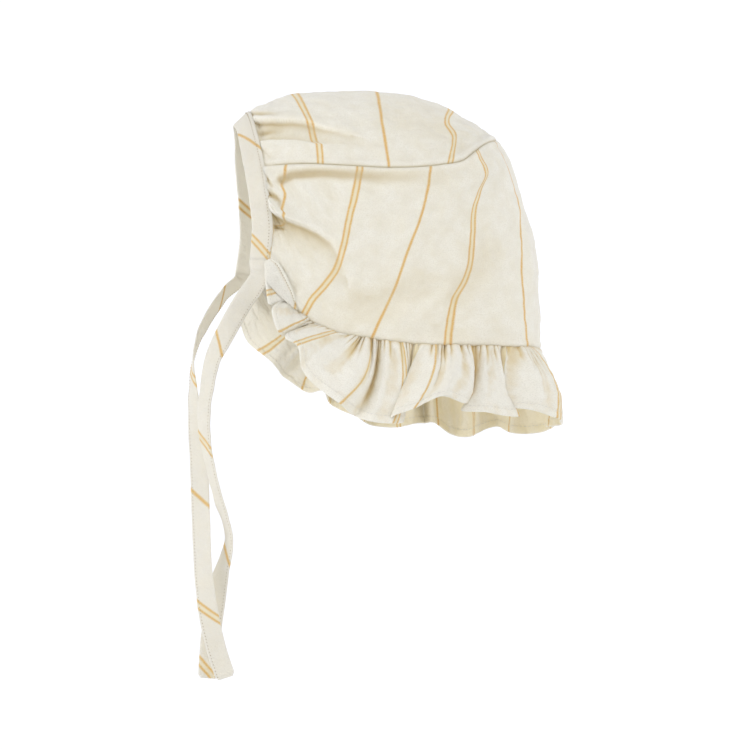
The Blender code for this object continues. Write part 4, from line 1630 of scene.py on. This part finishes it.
@dataclass(frozen=True)
class FaceBinding:
    """Folded bias tape round the face edge, from jaw corner to jaw corner over the top."""

    form: Form
    width: float = 0.0120
    thick: float = 0.0014
    lap: float = 0.0006        # how far it covers the panels' edge
    sunk: float = 0.0008       # how far its middle lies under the panels' outer skin
    swell: float = 0.00025     # how far the worn tape stands up from there
    curl: float = 0.10         # how far its free fold curls in, as a share of its width
    stitched: float = -0.68    # place of the stitches across it, from -1 to 1
    ripple: tuple = (0.00010, 0.0042)        # height and length of the ripples along the stitches
    crumple: tuple = (0.00020, 0.014, 41)    # height, wave length, seed
    stations: int = 420
    around: int = 36
    slant: tuple = (-1.0, -0.9)    # of its stripes, and what the front of the arch adds to it
    marks: tuple = ((-0.045, 3.0), (0.007, 4.0), (0.080, 5.0), (0.177, 6.0), (0.2365, 7.0),
                    (0.300, 8.0))

    def arch(self) -> tuple:
        """Face edge from the left jaw corner over the top to the right one.

        Returns:
            Points, outward directions and forward directions, evenly spaced.
        """
        rise = np.linspace(0, 1, 200)
        side = [self.form.side_grid(np.array(pair), rise) for pair in ((-1.0, -0.99), (0.99, 1.0))]
        crown = self.form.crown_grid(np.array([0.0, 0.01]), np.linspace(-1, 1, 241))
        edge = np.concatenate([side[0][:, 0], crown[0, 1:-1], side[1][::-1, 1]])
        inside = np.concatenate([side[0][:, 1], crown[1, 1:-1], side[1][::-1, 0]])
        marks = walked(edge)
        at = np.linspace(0, marks[-1], self.stations)
        edge, inside = (straight(marks, points, at) for points in (edge, inside))
        normal = self.form.normal(edge)
        forward = unit(np.cross(normal, unit(np.gradient(edge, axis=0))))
        forward *= -np.sign(np.sum(forward * (inside - edge), axis=-1, keepdims=True))
        return edge, normal, forward

    def tube(self) -> tuple:
        """The tape's points before the sway, its section and its cloth coordinates.

        The section is carried along the face edge. It curls in by the square of the share across.

        Returns:
            Rings of points, places across, heights, and cloth coordinates.
        """
        edge, normal, forward = self.arch()
        s = walked(edge)[:, None]
        across, height = tape_profile(self.around, self.thick / 2, self.stitched)
        out = (across + 1) / 2
        t = out * (self.width + self.lap) - self.lap
        ripple = np.sin((s + t) * (LAP / self.ripple[1]) + 1.5 * np.sin(s * 210)) * np.exp(-out / 0.16)
        size, length, seed = self.crumple
        lump = self.ripple[0] * ripple + size * waves(s, t[None], length, seed)
        curl = self.curl * self.width * np.clip(out, 0, 1)[None] ** 2
        rise = height[None] + lump + self.swell - curl
        rings = edge[:, None] + forward[:, None] * t[None, :, None] + normal[:, None] * rise[..., None]
        rings -= normal[:, None] * self.sunk
        unfolded = np.where(height < 0, 2 * self.width - t, t)[None] - self.width / 2
        over_front = ramp(0.030, 0.080, s) * (1 - ramp(0.130, 0.180, s))
        slant = self.slant[0] + self.slant[1] * over_front
        return rings, across, height, tape_cloth(s, unfolded, self.marks, slant)

    def build(self, finish: Finish, thread: Finish) -> Piece:
        """Build the binding with its edge stitches and dress it.

        Args:
            finish: the tape's material.
            thread: the stitches' material.

        Returns:
            The binding.
        """
        edge, normal, _ = self.arch()
        rings, across, height, cloth = self.tube()
        rings = self.form.sway(rings)
        # Painted light on the tape's inner face and a little painted shade on its outer face
        piece = make_tube("binding_tape", rings, cloth, np.where(height < 0, -1.0, 0.04))
        top, bottom = stitched_points(across, height, self.stitched)
        stitches = [make_stitches(f"binding_stitches_{name}", rings[:, k], normal * sign, thread,
                                  gap=0.0019, length=0.0006, radius=0.00023)
                    for name, k, sign in (("outer", top, 1), ("inner", bottom, -1))]
        flat = (self.width + self.lap, float(walked(edge)[-1]))
        dress(piece, finish, Seat("face_binding", "bias_tape", flat, "stretched",
                                  ("side_back_panel", "crown_panel")))
        return piece


# Ties, each row (fall, forward, inward, turn): shares of the drop, share of the way in from the
# tie's own corner to the middle plane, and degrees that the tape is turned from side-on
TIE_LEFT = (
    (0.000, 0.000, 0.00, 20.0), (0.046, 0.004, 0.05, 30.0), (0.097, 0.037, 0.23, 14.0),
    (0.172, 0.078, 0.52, 30.0), (0.221, 0.102, 0.70, 44.0), (0.295, 0.117, 0.84, 49.0),
    (0.383, 0.125, 0.86, 55.0), (0.466, 0.114, 0.86, 67.0), (0.560, 0.090, 0.93, 66.0),
    (0.664, 0.061, 1.03, 71.0), (0.753, 0.081, 1.08, 38.0), (0.814, 0.092, 1.10, 18.0),
    (0.900, 0.104, 1.10, 8.0), (1.000, 0.111, 1.10, 3.0),
)
TIE_RIGHT = (
    (0.000, 0.000, 0.00, 48.0), (0.020, 0.019, 0.07, 60.0), (0.048, 0.051, 0.23, 60.0),
    (0.095, 0.089, 0.43, 60.0), (0.160, 0.128, 0.66, 69.0), (0.238, 0.149, 0.84, 92.0),
    (0.291, 0.149, 0.88, 108.0), (0.379, 0.141, 0.88, 138.0), (0.480, 0.134, 0.90, 150.0),
    (0.627, 0.129, 0.98, 153.0), (0.763, 0.123, 1.08, 153.0), (0.850, 0.111, 1.10, 168.0),
    (0.925, 0.094, 1.10, 180.0), (1.000, 0.070, 1.10, 180.0),
)

# Where stripes cross the middle of each tie, each row (length along, stripe number)
TIE_LEFT_MARKS = ((-0.007, 4.0), (0.060, 3.0), (0.121, 2.0), (0.187, 1.0), (0.256, 0.0),
                  (0.320, -1.0))
TIE_RIGHT_MARKS = ((-0.045, 6.0), (0.0165, 7.0), (0.085, 8.0), (0.158, 9.0), (0.225, 10.0),
                   (0.290, 11.0))


@dataclass(frozen=True)
class Tie:
    """A free tape that leaves the lower end of the binding and twists as it hangs."""

    form: Form
    binding: FaceBinding
    side: Side
    rows: tuple
    marks: tuple
    drop: float = 0.238
    width: float = 0.0115
    thick: float = 0.0012
    stitched: float = 0.80     # place of the stitches across it, from -1 to 1
    crumple: tuple = (0.00018, 0.016, 51)    # height, wave length, seed
    joined: float = 0.008      # length in which it leaves the binding's own section
    turning: float = 0.012     # share of the drop in which it leaves the binding's own way
    cut_end: tuple = (0.25, 0.003)   # how much its cut end narrows, over what length
    first: int = 12            # station of the first stitch
    stations: int = 400
    around: int = 36           # the same as the binding's

    @property
    def corner(self) -> int:
        """The binding's station where the tie leaves it."""
        return 0 if self.side is Side.LEFT else -1

    def hang(self) -> tuple:
        """The tie's middle line and how its tape is turned.

        It leaves the corner along the binding and comes to its own way by an exponential.

        Returns:
            Points, directions across the tape and out of its face, and the way it leaves.
        """
        tape, corner = self.binding, self.corner
        edge, normal, forward = tape.arch()
        leave = unit(edge[corner] - edge[corner - 4 * self.side.value])
        start = edge[corner] + forward[corner] * (tape.width - tape.lap) / 2
        start = start - normal[corner] * (tape.curl * tape.width / 4 + tape.sunk)
        table = np.array(self.rows)
        fall = np.linspace(0, 1, self.stations) ** 1.15
        ahead, inward, turn = smooth(table[:, 0], table[:, 1:], fall).T
        path = np.stack([start[0] - ahead * self.drop, start[1] * (1 - inward),
                         start[2] - fall * self.drop], axis=-1)
        join = np.exp(-fall / self.turning)[:, None]
        along = unit(unit(np.gradient(path, axis=0)) * (1 - join) + leave * join)
        turn = np.radians(turn)
        across = np.stack([np.cos(turn), self.side.value * np.sin(turn), 0 * turn], axis=-1)
        across = unit(across * (1 - join) - forward[corner] * join)
        across = unit(across - along * np.sum(across * along, axis=-1, keepdims=True))
        return path, across, unit(np.cross(across, along)) * self.side.value, leave

    def tube(self) -> tuple:
        """The tape's points before the sway, its section and its cloth coordinates.

        The section is carried along the middle line and narrows at its cut end. At its start it
        is blended into the binding's last ring.

        Returns:
            Rings of points, places across, heights, and cloth coordinates.
        """
        path, across, face, leave = self.hang()
        s = walked(path)[:, None]
        share, height = tape_profile(self.around, self.thick / 2, self.stitched)
        t = share * self.width / 2
        size, length, seed = self.crumple
        lump = size * waves(s, t[None], length, seed + self.side.value)
        ends = 1 - self.cut_end[0] * ramp(s[-1, 0] - self.cut_end[1], s[-1, 0], s) ** 2
        fresh = 1 - ramp(0.0, self.joined, s)
        ends = ends * (1 + fresh * ((self.binding.width + self.binding.lap) / self.width - 1))
        rings = path[:, None] + across[:, None] * (t[None] * ends)[..., None]
        rings = rings + face[:, None] * (height[None] + lump * (1 - fresh))[..., None]
        last = self.binding.tube()[0][self.corner]
        last = last[(self.around // 2 - np.arange(self.around)) % self.around]
        rings = mix(rings, last[None] + leave * s[..., None], fresh[..., None])
        unfolded = np.where(height < 0, -self.width - t, t)[None]
        return rings, share, height, tape_cloth(s, unfolded, self.marks, float(self.side.value))

    def build(self, finish: Finish, thread: Finish) -> Piece:
        """Build the tie with its edge stitches and dress it.

        Args:
            finish: the tape's material.
            thread: the stitches' material.

        Returns:
            The tie.
        """
        path, _, face, _ = self.hang()
        rings, share, height, cloth = self.tube()
        name = self.side.name.lower()
        rings = self.form.sway(rings)
        # Painted light on the tie's rear face
        piece = make_tube(f"tie_tape_{name}", rings, cloth, np.where(height < 0, -1.0, 0.0))
        front, rear = stitched_points(share, height, self.stitched)
        stitches = [make_stitches(f"tie_stitches_{name}_{label}", rings[self.first:, k],
                                  face[self.first:] * sign, thread, gap=0.0019,
                                  length=0.0006, radius=0.00018)
                    for label, k, sign in (("front", front, 1), ("rear", rear, -1))]
        flat = (self.width, float(walked(path)[-1]))
        dress(piece, finish, Seat(f"tie_{name}", "bias_tape", flat, "hung", ("face_binding",)))
        return piece


# Facing, each row (along, low, high): shares of its length from the jaw corner, and metres from
# the neck seam to its lower and upper edge, up on the panel
FACING_EDGES = (
    (0.00, -0.0030, 0.0010), (0.12, -0.0046, 0.0034), (0.32, -0.0060, 0.0046),
    (0.50, -0.0046, 0.0046), (0.70, -0.0027, 0.0037), (0.88, -0.0011, 0.0019),
    (1.00, -0.0002, 0.0004),
)


@dataclass(frozen=True)
class CornerFacing:
    """Small leaf of cloth over a jaw corner, laid over the neck seam with a stitched edge."""

    form: Form
    side: Side
    length: float = 0.0325
    thick: float = 0.0008
    proud: float = 0.0013      # how far its outer face stands out from the form
    stitched: float = 0.84     # place of the stitches, as a share of the way up
    cloth_place: float = 3.4   # stripe number at its corner
    cloth_scale: float = 0.7   # its cloth lies slanting: root of a half, rounded
    rows: int = 91
    columns: int = 25

    def surface(self) -> tuple:
        """The leaf's outer skin over the neck seam.

        It is puffed by a half sine across, with soft waves, a groove of a bell along its
        stitches, and a rise over the ruffle that grows with the distance below the seam.

        Returns:
            Grid of points, outward directions, cloth coordinates and shares of the way up.
        """
        around = np.linspace(-1, 0, 1200)
        path = self.form.lift(self.form.neck_seam(np.cos(math.pi / 2 * around)), self.side.value)
        at = np.linspace(0.0, self.length, self.rows)
        line = straight(walked(path), path, at)
        normal = self.form.normal(line)
        up = unit(np.cross(normal, unit(np.gradient(line, axis=0))))
        up *= np.sign(up[:, 2:3])
        table = np.array(FACING_EDGES)
        low, high = smooth(table[:, 0] * self.length, table[:, 1:], at).T[:, :, None]
        rise = np.linspace(0, 1, self.columns)
        offset = mix(low, high, rise[None])
        points = line[:, None] + up[:, None] * offset[..., None]
        puff = self.proud + 0.0005 * np.sin(math.pi * rise)[None] + 0 * at[:, None]
        puff -= 0.0003 * self.beside_stitches(rise)
        puff += 0.00015 * waves(at[:, None], offset, 0.007, 61)
        puff += 0.55 * np.clip(-offset, 0, None) * ramp(0.003, 0.010, at)[:, None]
        slanting = [self.cloth_scale * (at[:, None] + sign * offset) for sign in (1, -1)]
        cloth = np.stack([self.cloth_place * PITCH + slanting[0], slanting[1]], axis=-1)
        return points + normal[:, None] * puff[..., None], normal, cloth, rise

    def beside_stitches(self, rise: Array) -> Array:
        """Bell about the line of stitches, a row."""
        return np.exp(-((rise - self.stitched) / 0.05) ** 2)[None]

    def build(self, finish: Finish, thread: Finish) -> Piece:
        """Build the leaf with its edge stitches and dress it.

        Args:
            finish: the cloth's material.
            thread: the stitches' material.

        Returns:
            The leaf.
        """
        outer, normal, cloth, rise = self.surface()
        inner = outer - normal[:, None] * self.thick
        name = self.side.name.lower()
        outer, inner = (self.form.sway(skin) for skin in (outer, inner))
        # Painted shade along the groove of the stitches
        piece = make_wall(f"facing_leaf_{name}", outer, inner, cloth,
                          0.25 * self.beside_stitches(rise))
        column = int(self.stitched * self.columns)
        stitches = make_stitches(f"facing_stitches_{name}", outer[6:-3, column], normal[6:-3],
                                 thread, gap=0.0016, length=0.0010,
                                 radius=0.00014)
        dress(piece, finish, Seat(f"corner_facing_{name}", "cotton_cloth", (0.0105, self.length),
                                  "laid", ("side_back_panel",), 0.00022))
        return piece


@dataclass(frozen=True)
class Studio:
    """Camera, soft lights and a pale floor."""

    pixel: float = 0.00058     # size of one pixel of the photograph on the object
    frame: int = 750           # the photograph's side in pixels
    middle: tuple = (-10, -284)   # the photograph's middle, in pixels from the head point's own
    azimuth: float = 5.0       # degrees that the camera stands toward the face
    rise: float = 4.0          # degrees that it looks up
    distance: float = 3.0
    floor: float = -0.412
    ceiling: float = 0.76
    cool: tuple = (1.0, 1.008, 1.045)

    def camera(self, form: Form) -> None:
        """Set the camera at the photograph's angle and scale.

        Args:
            form: the worn form, whose top and head point place it.
        """
        turn, lean = math.radians(self.azimuth), math.radians(self.rise)
        sight = np.array([math.sin(turn) * math.cos(lean), math.cos(turn) * math.cos(lean),
                          math.sin(lean)])
        target = np.array([self.middle[0] * self.pixel, 0, form.wall + self.middle[1] * self.pixel])
        data = bpy.data.cameras.new("camera")
        data.sensor_width = 36
        data.lens = 36 * self.distance / (self.pixel * self.frame)
        data.clip_start, data.clip_end = 0.05, 50
        camera = bpy.data.objects.new("camera", data)
        camera.location = target - sight * self.distance
        camera.rotation_euler = (math.pi / 2 + lean, 0, -turn)
        bpy.context.scene.collection.objects.link(camera)
        bpy.context.scene.camera = camera

    def light(self, name: str, place: tuple, size: float, power: float) -> None:
        """Add a square soft light that faces the bonnet.

        Args:
            name: the light's name.
            place: where it stands.
            size: length of its sides.
            power: watts.
        """
        data = bpy.data.lights.new(name, "AREA")
        data.size, data.energy, data.color = size, power, self.cool
        lamp = bpy.data.objects.new(name, data)
        aim = np.array([0, 0, -0.12]) - np.array(place)
        flat = math.hypot(aim[0], aim[1])
        lamp.location = place
        lamp.rotation_euler = (math.pi / 2 + math.atan2(aim[2], flat), 0,
                               math.atan2(aim[1], aim[0]) - math.pi / 2)
        bpy.context.scene.collection.objects.link(lamp)

    def sky(self) -> None:
        """White walls round the horizon and a dimmer ceiling, a soft band of the height."""
        world = bpy.data.worlds.new("studio")
        bpy.context.scene.world = world
        kit = NodeKit(world)
        way = kit.node("ShaderNodeTexCoord").outputs["Generated"]
        parts = kit.node("ShaderNodeSeparateXYZ", None, {0: way}).outputs
        wall = (Value(kit, parts[2]) - 0.06).band(0.16, 0.10)
        behind = (Value(kit, parts[1]) * 3.0 + 0.7).clipped()
        dim, near, far = (tuple(level * c for c in self.cool) + (1,)
                          for level in (self.ceiling, 0.93, 1.05))
        colour = kit.blend(wall, dim, kit.blend(behind, near, far))
        kit.feed(kit.tree.nodes["Background"].inputs[0], colour)

    def build(self, form: Form) -> None:
        """Make the camera, the lights, the floor and the sky.

        Args:
            form: the worn form.
        """
        bpy.context.scene.view_settings.view_transform = "Standard"
        self.camera(form)
        self.light("key", (-1.7, -1.5, 0.9), 0.9, 5.0)
        self.light("fill", (1.9, -1.5, 0.3), 0.9, 9.5)
        self.light("opening", (-1.8, -0.7, -0.2), 0.8, 9.0)
        self.sky()
        half = 6.0
        points = np.array([(-half, -half, self.floor), (half, -half, self.floor),
                           (half, half, self.floor), (-half, half, self.floor)])
        floor = make_mesh("floor", points, [np.array([[0, 1, 2, 3]])], points[:, :2])
        kit = NodeKit(bpy.data.materials.new("pale_floor"))
        at = kit.node("ShaderNodeTexCoord").outputs["Object"]
        cloud = kit.node("ShaderNodeTexNoise", None, {"Vector": at, "Scale": 3.0})
        grain = Value(kit, cloud.outputs["Fac"])
        floor.data.materials.append(kit.finish(
            {"Specular IOR Level": 0.2},
            {"Base Color": kit.blend(grain * 0.2, (0.93, 0.93, 0.93, 1), (0.90, 0.90, 0.90, 1)),
             "Roughness": 0.75 + grain * 0.1}))
        LOG.info("studio: camera, three lights and a floor")


def main() -> None:
    """Build every piece of the bonnet and the studio."""
    form = Form()
    Studio().build(form)
    cotton = Cotton("striped_cotton").material()
    # A lighter, warmer copy of the striped cotton for the ruffle and the facings: painted light, with
    # amber painted light on its inner skin and brown painted shade in its folds
    painted_lighter_cotton = Cotton("gathered_cotton", cream=(0.922, 0.888, 0.770, 1), shade=(0.878, 0.834, 0.702, 1),
                  painted_glow=(0.890, 0.755, 0.450, 1), deep=(0.700, 0.535, 0.270, 1),
                  through=0.35).material()
    # A darker copy of the striped cotton for the binding and the ties: painted shade
    tape = Cotton("bias_cotton_tape", cream=(0.785, 0.750, 0.655, 1), through=0.4).material()
    thread = Thread().material()
    pale = Thread("pale_thread", (0.76, 0.72, 0.64, 1)).material()
    CrownPanel(form).build(cotton)
    SidePanel(form).build(cotton)
    NeckRuffle(form).build(painted_lighter_cotton, pale)
    binding = FaceBinding(form)
    binding.build(tape, thread)
    Tie(form, binding, Side.LEFT, TIE_LEFT, TIE_LEFT_MARKS).build(tape, thread)
    Tie(form, binding, Side.RIGHT, TIE_RIGHT, TIE_RIGHT_MARKS).build(tape, thread)
    for side in (Side.LEFT, Side.RIGHT):
        CornerFacing(form, side).build(painted_lighter_cotton, thread)


if __name__ == "__main__":
    logging.basicConfig(level=logging.INFO, format="%(name)s: %(message)s")
    main()
